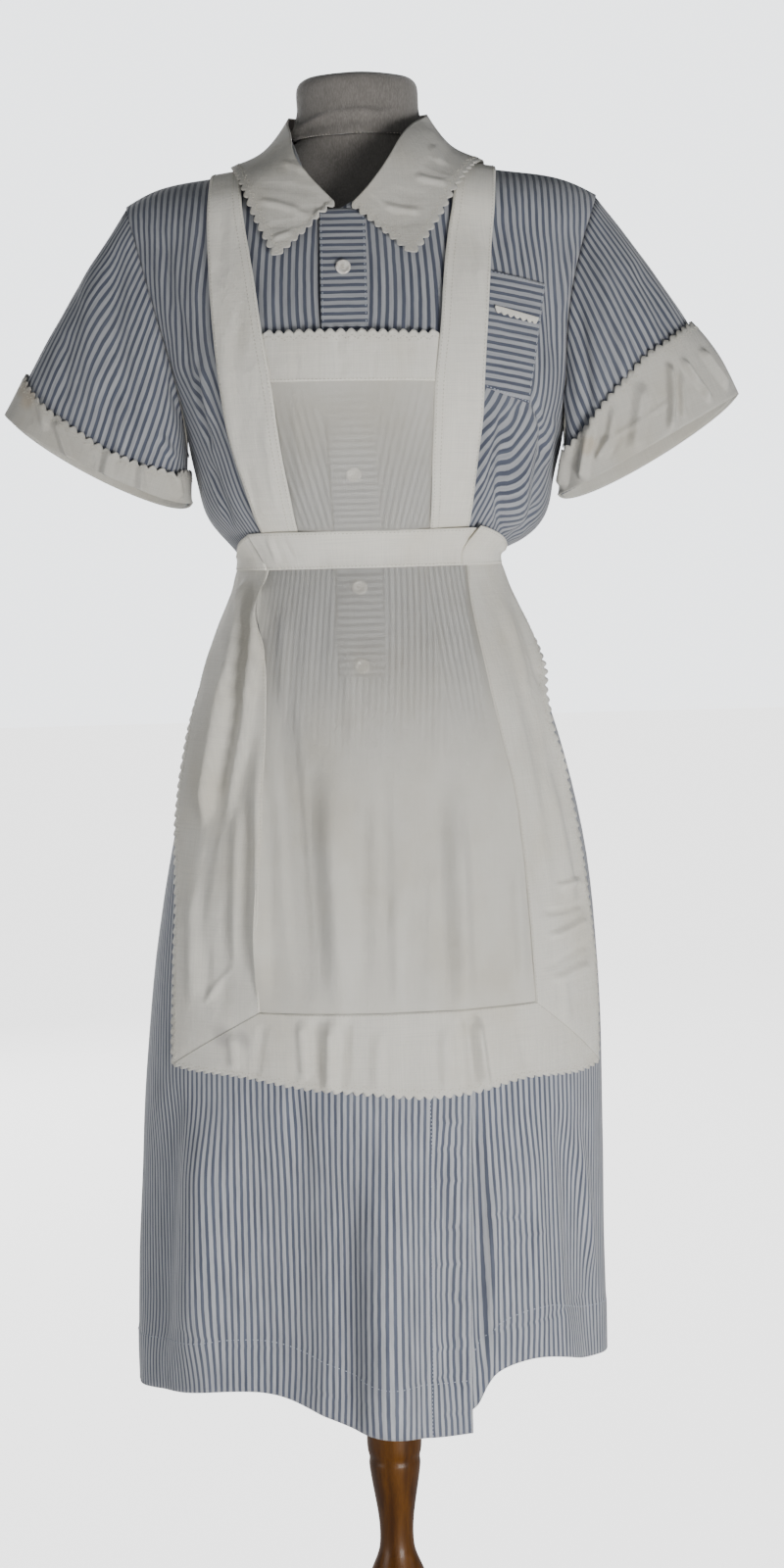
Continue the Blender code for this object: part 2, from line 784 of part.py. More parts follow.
def shoulder_line(side, face, across):
    """The shoulder seam, and on the back the neckline between the two seams."""
    sign = -1 if side == "left" else 1
    tip = SHOULDER_LEFT if side == "left" else SHOULDER_RIGHT
    neck_share = 0.30
    along = across
    if face == "back":
        if across < neck_share:
            turn = math.radians(90) * across / neck_share
            height = NAPE + (NECK_POINT - NAPE) * math.sin(turn)
            x = sign * NECK_HALF_WIDTH * math.sin(turn)
            return Vector((x, NAPE_DEPTH * math.cos(turn), height))
        along = (across - neck_share) / (1 - neck_share)
    out = NECK_HALF_WIDTH + (tip - NECK_HALF_WIDTH) * along
    return Vector((sign * out, 0.0, SHOULDER.at(out, "height")))


FRONT_COLUMNS = tuple(k / 7 for k in range(8))


def seam_columns(face):
    """Columns across half a panel, the same on both faces over the shoulder seam."""
    if face == "back":
        return (0, 0.15) + tuple(0.30 + 0.70 * t for t in FRONT_COLUMNS)
    return FRONT_COLUMNS


def make_bodice(stripes):
    """Two fronts and a back, which meet at the side and shoulder seams."""
    panels = []
    for side in ("left", "right"):
        grid = [[bodice_point(side, "front", level, t) for t in FRONT_COLUMNS] for level in LEVELS]
        panels.append(
            Cloth("bodice_front_" + side, grid, stripes, seams="bottom end top", level="bottom")
        )
    columns = seam_columns("back")
    grid = []
    for level in LEVELS:
        left = [bodice_point("left", "back", level, t) for t in reversed(columns)]
        right = [bodice_point("right", "back", level, t) for t in columns[1:]]
        grid.append(left + right)
    panels.append(
        Cloth("bodice_back", grid, stripes, seams="bottom start end top", level="bottom")
    )
    return panels


def sleeve_point(side, step, index, around):
    """A point of a sleeve, from the armhole at step 0 to the lower edge at step 1."""
    cuff = CUFF_LEFT if side == "left" else CUFF_RIGHT
    half = len(ARM_LEVELS) - 1
    face = "front" if index <= half else "back"
    level = ARM_LEVELS[half - index] if index <= half else ARM_LEVELS[index - half]
    start = bodice_point(side, face, level, 1.0)
    turn = 2 * math.pi * index / around
    end = Vector(cuff["middle"]) + Vector(cuff["reach"]) * math.cos(turn)
    end.y -= cuff["depth"] * math.sin(turn)
    end.z -= cuff["sag_front" if math.sin(turn) > 0 else "sag_back"] * abs(math.sin(turn))
    point = start.lerp(end, step)
    point.x += ARMPIT_ROOM * (1 - step) * hump(index, half, 2.5) * math.copysign(1, end.x)
    bulge = SLEEVE_BULGE * math.sin(math.pi * min(1.0, step * 1.15))
    point.y -= bulge * math.sin(turn)
    point.z += 0.5 * bulge * max(0.0, math.cos(turn))
    return point


def sleeve_row(side, share, around, below=False):
    """A row round a sleeve, at a share of the way to the cuff's edge or from there down."""
    row = []
    for index in range(around):
        start = CUFF_START.at(index / around, side)
        step = start + (1 - start) * share if below else start * share
        row.append(sleeve_point(side, step, index, around))
    return row


def flared(side, row, share):
    """A row of the cuff, standing out from the arm on its outer side."""
    cuff = CUFF_LEFT if side == "left" else CUFF_RIGHT
    away = Vector(cuff["reach"]).normalized()
    moved_row = []
    for index, point in enumerate(row):
        outer = max(0.0, math.cos(2 * math.pi * index / len(row))) ** 2
        moved_row.append(point + away * cuff["flare"] * outer * math.sin(math.pi * share) ** 0.7)
    return moved_row


def make_sleeves(stripes, plain):
    """The sleeves, and the cuffs turned back over their lower ends."""
    around = 2 * (len(ARM_LEVELS) - 1)
    sleeves, cuffs = [], []
    for side in ("left", "right"):
        def core(point, side=side):
            start = Vector(bodice_point(side, "front", 5, 1.0))
            start.y = 0.0
            start.z = 1.30
            end = Vector((CUFF_LEFT if side == "left" else CUFF_RIGHT)["middle"])
            way = (end - start).normalized()
            return start + way * (point - start).dot(way)

        grid = [sleeve_row(side, share, around) for share in SLEEVE_STEPS]
        grid += [sleeve_row(side, share, around, below=True) for share in CUFF_INSIDE]
        sleeves.append(
            Cloth("sleeve_" + side, grid, stripes, closed=True, core=core, seams="bottom")
        )
        grid = [flared(side, sleeve_row(side, s, around, below=True), s) for s in CUFF_STEPS]
        lifted = moved(grid, grid_normals(grid, True, core), CUFF_GAP)
        cuffs.append(
            Cloth("cuff_" + side, lifted, plain, thick=DOUBLED, closed=True, core=core,
                  scallops="top", outward=True)
        )
    return sleeves, cuffs


def skirt_point(height, angle, hem):
    """A point of the skirt with its folds, at a share of the way from the hem to the waist."""
    z = hem + (WAIST - hem) * height
    point = ring_point(SKIRT, z, angle)
    out = (point - axis_point(point)).normalized()
    for middle, half_width, depth, top in SKIRT_FOLDS:
        fade = max(0.0, min(1.0, (top - z) / (top - HEM_TOP)))
        point += out * depth * fade * hump(angle_from(angle, middle), 0, half_width)
    return point


def spaced(start, end, step):
    """Angles from one to another, about a step apart."""
    count = max(1, round(abs(end - start) / step))
    return [start + (end - start) * k / count for k in range(count + 1)]


def make_skirt(stripes):
    """Two fronts, the left lapped over the right, and a back."""
    left = [
        [skirt_point(h, a, HEM_LEFT.at(a, "height")) for a in spaced(-90, LAP_ANGLE, 6)]
        for h in SKIRT_HEIGHTS
    ]
    right = []
    for h in SKIRT_HEIGHTS:
        line = []
        for a in RIGHT_ANGLES:
            point = skirt_point(h, a, HEM_RIGHT.at(a, "height"))
            out = (point - axis_point(point)).normalized()
            drop = UNDERLAP_DROP * min(1.0, max(0.0, (LAP_ANGLE + 12 - a) / 9))
            line.append(point - out * drop)
        right.append(line)
    back = []
    for h in SKIRT_HEIGHTS:
        line = [skirt_point(h, a, HEM_RIGHT.at(a, "height")) for a in spaced(90, 180, 7)]
        line += [skirt_point(h, a, HEM_LEFT.at(a, "height")) for a in spaced(-180, -90, 7)[1:]]
        back.append(line)
    return [
        Cloth("skirt_front_left", left, stripes, seams="top start", level="top"),
        Cloth("skirt_front_right", right, stripes, seams="top end", level="top"),
        Cloth("skirt_back", back, stripes, seams="top start end", level="top"),
    ]


def make_placket(dress, stripes):
    """The button band down the bodice, and its end on the skirt."""
    made = []
    spans = (
        ("placket", PLACKET_TOP, WAIST, 14, "bottom"),
        ("placket_lower", WAIST, 0.995, 6, "top"),
    )
    for name, top, bottom, rows, seam in spans:
        grid = []
        for k in range(rows + 1):
            z = bottom + (top - bottom) * k / rows
            middle = CENTRE.at(z, "x")
            edges = (middle - PLACKET_WIDTH / 2, middle, middle + PLACKET_WIDTH / 2)
            grid.append([laid(dress, "front", z, x, CLOSE) for x in edges])
        settle(grid, dress, CLOSE)
        made.append(Cloth(name, grid, stripes, outward=True, seams=seam, level=seam))
    return made


def make_pocket(dress, stripes, plain):
    """The chest pocket, and the row of small points below its hem band."""
    def spot(across, down, lift, tree):
        corners = [Vector((x, 0, z)) for x, z in POCKET["top"] + POCKET["bottom"]]
        upper = corners[0].lerp(corners[1], across)
        place = upper.lerp(corners[2].lerp(corners[3], across), down)
        return laid(tree, "front", place.z, place.x, lift)

    rows = [k / 6 for k in range(7)]
    columns = [k / 4 for k in range(5)]
    grid = [[spot(u, 1 - v, CLOSE, dress) for u in columns] for v in rows]
    pocket = Cloth("chest_pocket", settle(grid, dress, CLOSE), stripes, outward=True)
    over = surface(face_of(pocket))
    length = (grid[-1][0] - grid[0][0]).length
    shares = (POCKET_BAND + TRIM_HEIGHT / length, POCKET_BAND)
    grid = [[spot(0.27 + 0.70 * u, down, CLOSE / 2, over) for u in columns] for down in shares]
    settle(grid, over, CLOSE / 2)
    trim = Cloth("pocket_trim", grid, plain, thick=CLOTH, scallops="bottom", outward=True,
                 pitch=TRIM_PITCH, depth=TRIM_POINT)
    return pocket, trim


def make_buttons(dress, look):
    """Round buttons down the placket."""
    for number, height in enumerate(BUTTON_HEIGHTS, 1):
        middle = Vector((CENTRE.at(height, "x"), -1, height))
        hit, normal, _, _ = dress.ray_cast(middle, Vector((0, 1, 0)))
        shape = bmesh.new()
        bmesh.ops.create_cone(
            shape, cap_ends=True, segments=16, radius1=BUTTON_RADIUS, radius2=0.8 * BUTTON_RADIUS,
            depth=BUTTON_THICKNESS,
        )
        turn = Vector((0, 0, 1)).rotation_difference(normal).to_matrix()
        bmesh.ops.rotate(shape, verts=shape.verts, cent=(0, 0, 0), matrix=turn)
        seat = BUTTON_THICKNESS / 2 + 1.5 * SEAT_GAP
        bmesh.ops.translate(shape, verts=shape.verts, vec=hit + normal * seat)
        make_object(f"button_{number}", shape, look)


def make_straps(dress, plain):
    """Both straps, from the waistband over the shoulders to the ties at the back."""
    made = []
    for side, stations in (("left", STRAP_LEFT), ("right", STRAP_RIGHT)):
        sign = -1 if side == "left" else 1
        grid = []
        for station, following in zip(stations, stations[1:] + stations[-1:]):
            grid.append(strap_row(dress, sign, station))
            if station[0] == following[0] and station is not following:
                halfway = [(a + b) / 2 for a, b in zip(station[1:], following[1:])]
                grid.append(strap_row(dress, sign, (station[0], *halfway)))
        grid = settle(grid, dress, STRAP_LIFT)
        for point in grid[0]:
            point.z = BIB_BOTTOM
        made.append(
            Cloth("strap_" + side, grid, plain, outward=True, seams="bottom start",
                  level="bottom")
        )
    return made


def strap_row(dress, sign, station):
    """A row of points across a strap, laid on the dress."""
    way, place, inner, outer = station
    edges = [inner + (outer - inner) * k / 2 for k in range(3)]
    return [laid(dress, way, place, sign * x, STRAP_LIFT) for x in edges]


def strap_inner(stations, height):
    """How far out a strap's inner edge is on the front at a height."""
    rows = [(place, inner) for way, place, inner, _ in stations if way == "front"]
    return Table("height inner", *rows).at(height, "inner")


def make_bib(dress, plain, sheer):
    """The bib between the straps: a doubled band at the top over a single sheer panel."""
    made = []
    spans = (
        ("bib_panel", BIB_BOTTOM, BIB_BAND_BOTTOM, 5, sheer, "bottom top start end", "", "bottom"),
        ("bib_band", BIB_BAND_BOTTOM, BIB_TOP, 2, plain, "bottom start end", "top", ""),
    )
    for name, bottom, top, rows, look, seams, scallops, level in spans:
        grid = []
        for k in range(rows + 1):
            z = bottom + (top - bottom) * k / rows
            slant = BIB_SLANT * (z - BIB_BOTTOM) / (BIB_TOP - BIB_BOTTOM)
            left, right = -strap_inner(STRAP_LEFT, z), strap_inner(STRAP_RIGHT, z - 0.003)
            line = []
            for m in range(11):
                t = m / 10
                lift = STRAP_LIFT + (BIB_LIFT - STRAP_LIFT) * math.sin(math.pi * t) ** 0.7
                x = left + (right - left) * t
                line.append(laid(dress, "front", z - slant * (x - left), x, lift))
            grid.append(line)
        if bottom == BIB_BOTTOM:
            for point in grid[0]:
                point.z = BIB_BOTTOM
        made.append(
            Cloth(name, grid, look, outward=True, seams=seams, scallops=scallops, level=level)
        )
    share_normals(made)
    return made


def tie_span(angle):
    """The lower and upper height of a tie, from the waistband's end to the back."""
    ease = max(0.0, min(1.0, (angle - 46) / 34))
    ease = ease * ease * (3 - 2 * ease)
    low = BAND_BOTTOM
    high = BAND_TOP + (BAND_BOTTOM + TIE_HEIGHT - BAND_TOP) * ease
    return low, high


def waist_grid(tree, angles, lift):
    """A strip round the waist, from its lower edge to its upper."""
    grid = []
    for k in range(4):
        spots = []
        for angle in angles:
            low, high = tie_span(abs(angle))
            z = low + (high - low) * k / 3
            out = ring_point(SKIRT, WAIST, angle)
            out.z = 0.0
            out.normalize()
            axis = Vector((0, 0, z))
            hit = tree.ray_cast(axis + out * 0.6, -out)[0]
            spots.append((axis, out, (hit - axis).length))
        grid.append([
            axis + out * (lift + max(reach for _, _, reach in spots[max(0, m - 1):m + 2]))
            for m, (axis, out, _) in enumerate(spots)
        ])
    return settle(grid, tree, lift)


def make_waist(dress, plain):
    """The waistband, the ties round to the back, their knot and its two tails."""
    band = waist_grid(dress, spaced(-BAND_END_LEFT, BAND_END_RIGHT, 6), CLOSE)
    pieces = [Cloth("waistband", band, plain, thick=DOUBLED, outward=True,
                    seams="bottom top start end", level="bottom top")]
    ends = {"left": (-BAND_END_LEFT, -172), "right": (BAND_END_RIGHT, 172)}
    for side, (first, last) in ends.items():
        grid = waist_grid(dress, spaced(first, last, 6), CLOSE)
        pieces.append(
            Cloth("tie_" + side, grid, plain, outward=True, seams="bottom start", level="bottom")
        )
    return pieces


def make_knot(dress, plain):
    """The tied knot at the back, and the tails that hang from it."""
    z = BAND_BOTTOM + TIE_HEIGHT / 2
    back = ring_point(SKIRT, z, 180).y
    depth = KNOT_SIZE[1]
    middle = Vector((0, back + KNOT_GAP + depth / 2, z))
    shape = bmesh.new()
    bmesh.ops.create_cube(shape, size=1.0)
    bmesh.ops.subdivide_edges(shape, edges=shape.edges, cuts=3, use_grid_fill=True)
    for vertex in shape.verts:
        round_off = vertex.co.normalized() * 0.5
        vertex.co = vertex.co.lerp(round_off, 0.75)
    bmesh.ops.scale(shape, vec=KNOT_SIZE, verts=shape.verts)
    bmesh.ops.translate(shape, vec=middle, verts=shape.verts)
    make_object("tie_knot", shape, plain)
    pieces = []
    for side, sign in (("left", -1), ("right", 1)):
        grid = []
        for k in range(13):
            t = k / 12
            height = z - KNOT_SIZE[2] / 2 - 0.0035 - TAIL_LENGTH * t
            spread = sign * (0.013 + 0.016 * t + 0.003 * math.sin(7 * t))
            line = []
            for m in range(4):
                x = spread + sign * TAIL_WIDTH * (m / 3 - 0.5)
                wave = 0.002 * math.sin(9 * t + 2 * sign) * math.sin(math.pi * m / 3 + 0.4)
                line.append(laid(dress, "back", height, x, TAIL_LIFT + wave))
            grid.append(line)
        settle(grid, dress, CLOSE / 2)
        pieces.append(Cloth("tail_" + side, grid, plain, outward=True))
    return pieces


def apron_point(height, angle):
    """A point of the apron's skirt, hung clear of the dress, with its own folds."""
    point = ring_point(SKIRT, height, angle)
    out = (point - axis_point(point)).normalized()
    lift = APRON.at(height, "lift")
    lift += BUTTON_ROOM * hump(angle, -4, 30) * hump(height, BUTTON_HEIGHTS[3] - 0.01, 0.040)
    for at_waist, at_hem, half_width, depth, top, bottom in APRON_FOLDS:
        share = max(0.0, min(1.0, (top - height) / (top - bottom)))
        middle = at_waist + (at_hem - at_waist) * share
        lift += depth * math.sin(math.pi * share ** 0.6) * hump(angle, middle, half_width)
    return point + out * max(lift, 0.0022 if height < 1.07 else 0.0016)


def apron_edge(height, name):
    """An edge of the apron at a height, as an angle from the front."""
    sign = -1 if name.startswith("left") else 1
    return sign * APRON.at(height, name)


def make_apron(plain, sheer):
    """The apron's skirt: a sheer panel between two doubled side bands and a hem band."""
    top = BAND_BOTTOM
    band_top = 0.643 + APRON_BAND_HEIGHT
    shares = [1 - (1 - k / 12) ** 1.25 for k in range(13)]
    heights = [band_top + (top - band_top) * share for share in shares]
    panel = []
    for z in heights:
        angles = spaced_between(apron_edge(z, "left_band"), apron_edge(z, "right_band"), 12)
        panel.append([apron_point(z, a) for a in angles])
    pieces = [Cloth("apron_panel", panel, sheer, outward=True, seams="bottom top start end",
                    level="top")]
    for side in ("left", "right"):
        mitre = [apron_mitre(side, band_top, m / APRON_BAND_CELLS)
                 for m in range(APRON_BAND_CELLS + 1)]
        grid = [[apron_point(*spot) for spot in mitre]]
        for share in shares[1:]:
            line = []
            for m, (low, _) in enumerate(mitre):
                z = low + (top - low) * share
                inner, outer = apron_edge(z, side + "_band"), apron_edge(z, side)
                line.append(apron_point(z, inner + (outer - inner) * m / APRON_BAND_CELLS))
            grid.append(line)
        pieces.append(
            Cloth("apron_band_" + side, grid, plain, thick=DOUBLED, outward=True,
                  seams="bottom top start", scallops="end", level="top")
        )
    band = []
    for k in range(APRON_BAND_CELLS + 1):
        up = k / APRON_BAND_CELLS
        first = apron_mitre("left", band_top, 1 - up)
        last = apron_mitre("right", band_top, 1 - up)
        low = spaced_between(apron_edge(0.65, "left"), apron_edge(0.65, "right"), 20)
        line = []
        for m, angle in enumerate(spaced_between(first[1], last[1], 20)):
            hem = APRON_HEM.at(low[m], "height")
            line.append(apron_point(hem + (band_top - hem) * up, angle))
        band.append(line)
    pieces.append(
        Cloth("apron_hem_band", band, plain, thick=DOUBLED, outward=True,
              seams="top start end", scallops="bottom")
    )
    return pieces


def apron_mitre(side, band_top, out):
    """Height and angle on the slanted seam from a hem corner up to the sheer panel's corner."""
    corner = apron_edge(0.65, side)
    hem = APRON_HEM.at(corner, "height")
    inner = apron_edge(band_top, side + "_band")
    return band_top + (hem - band_top) * out, inner + (corner - inner) * out


def spaced_between(first, last, count):
    """Evenly spaced numbers from one to another."""
    return [first + (last - first) * k / count for k in range(count + 1)]


def collar_lift(row, column):
    """How far the collar lies above the dress, more where it crosses a strap."""
    crossing = min(1.0, 1.7 * hump(column / 14, 0.58, 0.44))
    lift = 1.5 * CLOSE + STRAP_ROOM * crossing * min(1.0, 2 * COLLAR_ROWS[row])
    return lift + PLACKET_ROOM * hump(column / 14, 1.0, 0.25)


def make_collar(under, over, plain):
    """Two halves of a flat collar, laid over the shoulders and the straps."""
    pieces = []
    for side, sign in (("left", -1), ("right", 1)):
        grid = []
        for w in COLLAR_ROWS:
            line = []
            for k in range(15):
                along = k / 14
                fold = Vector([COLLAR.at(along, "fold_" + axis) for axis in "xyz"])
                edge = Vector([COLLAR.at(along, "edge_" + axis) for axis in "xyz"])
                lean = COLLAR_LEAN * max(0.0, along - 0.5) / 0.5
                point = fold.lerp(edge, w)
                point.x = sign * point.x - lean
                point.z += COLLAR.at(along, "roll") * math.sin(math.pi * w)
                line.append(point)
            grid.append(line)
        settle(grid, under, collar_lift)
        settle(grid, over, CLOSE)
        pieces.append(
            Cloth("collar_" + side, grid, plain, thick=DOUBLED, outward=True, seams="start",
                  scallops="top end")
        )
    return pieces


def lofted(name, rings, look):
    """A closed body through rings of points, with flat ends."""
    shape = bmesh.new()
    loops = [[shape.verts.new(point) for point in ring] for ring in rings]
    sides = len(loops[0])
    for low, high in zip(loops, loops[1:]):
        for k in range(sides):
            after = (k + 1) % sides
            shape.faces.new((low[k], low[after], high[after], high[k]))
    shape.faces.new(loops[0][::-1])
    shape.faces.new(loops[-1])
    bmesh.ops.recalc_face_normals(shape, faces=shape.faces)
    return make_object(name, shape, look)


def inner_surface(cloths):
    """A tree over the hidden faces of pieces of cloth, facing in."""
    points, faces = [], []
    for cloth in cloths:
        start = len(points)
        inner = moved(cloth.grid, cloth.normals, cloth.thick)
        rows, columns = len(inner), len(inner[0])
        points += [point for line in inner for point in line]
        facing = (inner[0][1] - inner[0][0]).cross(inner[1][0] - inner[0][0])
        flip = facing.dot(cloth.normals[0][0]) > 0
        for i in range(rows - 1):
            for j in range(columns - 1):
                loop = [(i, j), (i, j + 1), (i + 1, j + 1), (i + 1, j)]
                face = [start + r * columns + c for r, c in loop]
                faces.append(face[::-1] if flip else face)
    return BVHTree.FromPolygons(points, faces)


def make_form(bodice, jersey, wood):
    """The padded body, its neck, the turned pole and the base."""
    angles = [360 * k / FORM_SIDES for k in range(FORM_SIDES)]
    rings = [[ring_point(FORM, z, a) for a in angles] for z in FORM_HEIGHTS]
    inside = inner_surface(bodice)
    for ring in rings[FORM_HEIGHTS.index(1.110):-1]:
        for point in ring:
            place, normal, _, distance = inside.find_nearest(point)
            rise = (point - place).dot(normal)
            if rise < FORM_CLEARANCE and distance < 0.03:
                moved_in = normal * (FORM_CLEARANCE - rise)
                point.x += moved_in.x
                point.y += moved_in.y
                point.z += min(0.0, moved_in.z)
    lofted("form_body", rings, jersey)
    rings = []
    for z in NECK_HEIGHTS:
        radius = NECK.at(z, "radius")
        rings.append([
            Vector((radius * math.sin(math.radians(a)), -radius * math.cos(math.radians(a)), z))
            for a in angles
        ])
    lofted("form_neck", rings, jersey)
    for name, profile in (("form_pole", POLE_PROFILE), ("form_base", BASE_PROFILE)):
        turned(name, profile, wood)


def turned(name, profile, look):
    """A body turned about the upright axis from heights and radii."""
    rings = []
    for height, radius in reversed(profile):
        rings.append([
            Vector((radius * math.cos(2 * math.pi * k / TURNED_SIDES),
                    radius * math.sin(2 * math.pi * k / TURNED_SIDES), height))
            for k in range(TURNED_SIDES)
        ])
    return lofted(name, rings, look)


def main():
    for old in list(bpy.data.objects):
        bpy.data.objects.remove(old, do_unlink=True)
    stripes = finish("striped_cotton", (0.42, 0.46, 0.56), 0.85)
    plain = finish("cream_cotton", (0.62, 0.60, 0.54), 0.85)
    sheer = finish("sheer_cotton", (0.45, 0.45, 0.43), 0.85)
    jersey = finish("grey_jersey", (0.14, 0.13, 0.12), 0.95)
    wood = finish("turned_wood", (0.12, 0.04, 0.01), 0.35)
    pearl = finish("pearl_button", (0.55, 0.53, 0.50), 0.30)

    bodice = make_bodice(stripes)
    sleeves, _ = make_sleeves(stripes, plain)
    skirt = make_skirt(stripes)
    share_normals(bodice + sleeves)
    share_normals(skirt)
    front = whole_front(*bodice[:2])
    back = face_of(bodice[2])
    below = [face_of(panel) for panel in skirt]
    dress = surface(front, back, *below)
    plackets = [face_of(piece) for piece in make_placket(dress, stripes)]
    pocket, _ = make_pocket(dress, stripes, plain)
    make_buttons(surface(*plackets), pearl)
    straps = make_straps(surface(front, back, face_of(pocket)), plain)
    make_bib(dress, plain, sheer)
    make_waist(surface(front, back, *below, *plackets), plain)
    make_knot(dress, plain)
    make_apron(plain, sheer)
    over = surface(*[face_of(strap) for strap in straps])
    make_collar(surface(front, back, plackets[0]), over, plain)
    for piece in PIECES:
        piece.build()
    make_form(bodice, jersey, wood)


main()
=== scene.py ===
# %% [markdown]
# # A maid dress on a dress form
#
# A short-sleeved dress of narrow blue stripes with a scalloped collar and turned-back cuffs,
# and over it a cream apron with a bib, partly sheer. It hangs on a limbless form on a turned
# wooden stand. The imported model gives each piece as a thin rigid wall. This lesson lays a fine
# cloth on each wall, creases it, weaves stripes into it and sews it.
#
# Units are metres, +Z is up, and the front faces -Y. Left and right are the viewer's.

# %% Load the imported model
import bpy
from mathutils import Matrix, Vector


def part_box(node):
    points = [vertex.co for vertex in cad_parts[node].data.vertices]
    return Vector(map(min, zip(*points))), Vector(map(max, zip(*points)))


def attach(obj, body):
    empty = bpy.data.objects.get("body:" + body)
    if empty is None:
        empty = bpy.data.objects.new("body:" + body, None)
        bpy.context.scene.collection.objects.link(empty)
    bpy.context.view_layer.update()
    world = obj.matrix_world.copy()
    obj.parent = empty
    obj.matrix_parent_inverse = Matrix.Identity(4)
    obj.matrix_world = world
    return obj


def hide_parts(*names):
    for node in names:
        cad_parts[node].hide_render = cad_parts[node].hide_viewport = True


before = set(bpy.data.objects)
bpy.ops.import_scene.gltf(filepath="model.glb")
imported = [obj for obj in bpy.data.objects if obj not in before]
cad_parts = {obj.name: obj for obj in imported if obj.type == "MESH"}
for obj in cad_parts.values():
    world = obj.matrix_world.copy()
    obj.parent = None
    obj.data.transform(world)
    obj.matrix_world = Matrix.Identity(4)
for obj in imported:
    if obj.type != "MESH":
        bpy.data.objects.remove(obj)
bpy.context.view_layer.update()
print("nodes", len(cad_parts))

# %% [markdown]
# Blender's bmesh operators make the meshes, numpy shapes a whole net at once, and a tree finds
# the face that is nearest to a point. Tables of places are written in whole millimetres.

# %% Modules
import heapq
import math

import bmesh
import bpy
import numpy as np
from mathutils import Matrix, Vector, noise
from mathutils.bvhtree import BVHTree

MM = 0.001
TINY = 1e-12


def in_mm(*points):
    """Points that are written in millimetres, in metres."""
    return tuple(tuple(value / 1000 for value in point) for point in points)


print("Blender", bpy.app.version_string)

# %% [markdown]
# ## The camera
#
# The photograph was taken from chest height, tilted a little down and a little to one side.
# A long lens keeps the waist and the hem free of distortion. The camera comes first, because
# every later render is compared with the photograph.

# %% Camera
EYE = Vector((0.0143, -2.5, 1.112))
LOOKS_DOWN = math.radians(5.0)
LEANS = math.radians(-1.56)
LENS = 64.0
camera_data = bpy.data.cameras.new("camera")
camera_data.lens = LENS
camera = bpy.data.objects.new("camera", camera_data)
bpy.context.scene.collection.objects.link(camera)
view_line = Vector((0.0, math.cos(LOOKS_DOWN), -math.sin(LOOKS_DOWN)))
turned = view_line.to_track_quat("-Z", "Y").to_matrix().to_4x4()
camera.matrix_world = Matrix.Translation(EYE) @ turned @ Matrix.Rotation(LEANS, 4, "Z")
bpy.context.scene.camera = camera
print("camera at", tuple(round(c, 3) for c in EYE))

# %% [markdown]
# ## From a wall to one clean sheet
#
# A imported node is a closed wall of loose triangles. Its outer face alone is wanted here. A
# copy is merged, the sharp edges along its rim part the outer face from the inner one, and
# the pairs of triangles are joined to quads again, so that subdivision rounds them evenly.

# %% Outer face of a node
MERGE = 1e-5
RIM_ANGLE = math.radians(45)
SLIVER = 1.7 * MM


def islands(bm, edges):
    """Groups of faces that the given edges part, the largest first."""
    seen, groups = set(), []
    for face in bm.faces:
        if face in seen:
            continue
        seen.add(face)
        todo, group = [face], []
        while todo:
            one = todo.pop()
            group.append(one)
            for edge in one.edges:
                for other in () if edge in edges else edge.link_faces:
                    if other not in seen:
                        seen.add(other)
                        todo.append(other)
        groups.append(group)
    return sorted(groups, key=lambda group: -sum(f.calc_area() for f in group))


def facing_out(group, middle):
    """How much a group of faces looks away from the middle of the garment."""
    return sum(f.normal.dot(f.calc_center_median() - middle) * f.calc_area() for f in group)


def outer_face(name, trim_slivers=False):
    """The outer face of a node's wall as quads, with no rim."""
    bm = bmesh.new()
    bm.from_mesh(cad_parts[name].data)
    bmesh.ops.remove_doubles(bm, verts=bm.verts, dist=MERGE)
    rim = {e for e in bm.edges if e.is_manifold and e.calc_face_angle(0) > RIM_ANGLE}
    low, high = (Vector(corner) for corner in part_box(name))
    middle = (low + high) / 2
    if not name.startswith(("sleeve", "cuff")):
        middle.x, middle.y = 0.0, 0.0
    outer = max(islands(bm, rim)[:2], key=lambda group: facing_out(group, middle))
    if trim_slivers:
        outer = [f for f in outer if width_of(f) > SLIVER]
    kept = set(outer)
    bmesh.ops.delete(bm, geom=[f for f in bm.faces if f not in kept], context="FACES")
    bmesh.ops.join_triangles(
        bm, faces=bm.faces, angle_face_threshold=math.pi, angle_shape_threshold=math.pi
    )
    return bm


def width_of(face):
    """The least height of a triangle."""
    return 2 * face.calc_area() / max(e.calc_length() for e in face.edges)


# %% [markdown]
# The sheet is rounded with two levels of Catmull-Clark subdivision, as the Subdivision Surface
# modifier does it. The corners are held with a crease, so that neighbours still meet there.

# %% Rounding
ROUNDING = 2


def nearest(verts, point):
    return min(verts, key=lambda v: (v.co - Vector(point)).length_squared)


def rounded(bm, corners):
    """A smooth copy of the sheet, with the vertices nearest to the corners held."""
    held = bm.verts.layers.float.new("crease_vert")
    edge = [v for v in bm.verts if v.is_boundary]
    for corner in corners:
        nearest(edge, corner)[held] = 1.0
    smooth = subdivided(bm, ROUNDING)
    bmesh.ops.triangulate(smooth, faces=smooth.faces)
    return smooth


def subdivided(bm, levels):
    """The mesh after the Subdivision Surface modifier."""
    mesh = bpy.data.meshes.new("rounding")
    bm.to_mesh(mesh)
    bm.free()
    thing = bpy.data.objects.new("rounding", mesh)
    bpy.context.scene.collection.objects.link(thing)
    modifier = thing.modifiers.new("rounding", "SUBSURF")
    modifier.levels = modifier.render_levels = levels
    shown = thing.evaluated_get(bpy.context.evaluated_depsgraph_get())
    smooth = bmesh.new()
    smooth.from_mesh(shown.to_mesh())
    shown.to_mesh_clear()
    bpy.data.objects.remove(thing)
    bpy.data.meshes.remove(mesh)
    return smooth


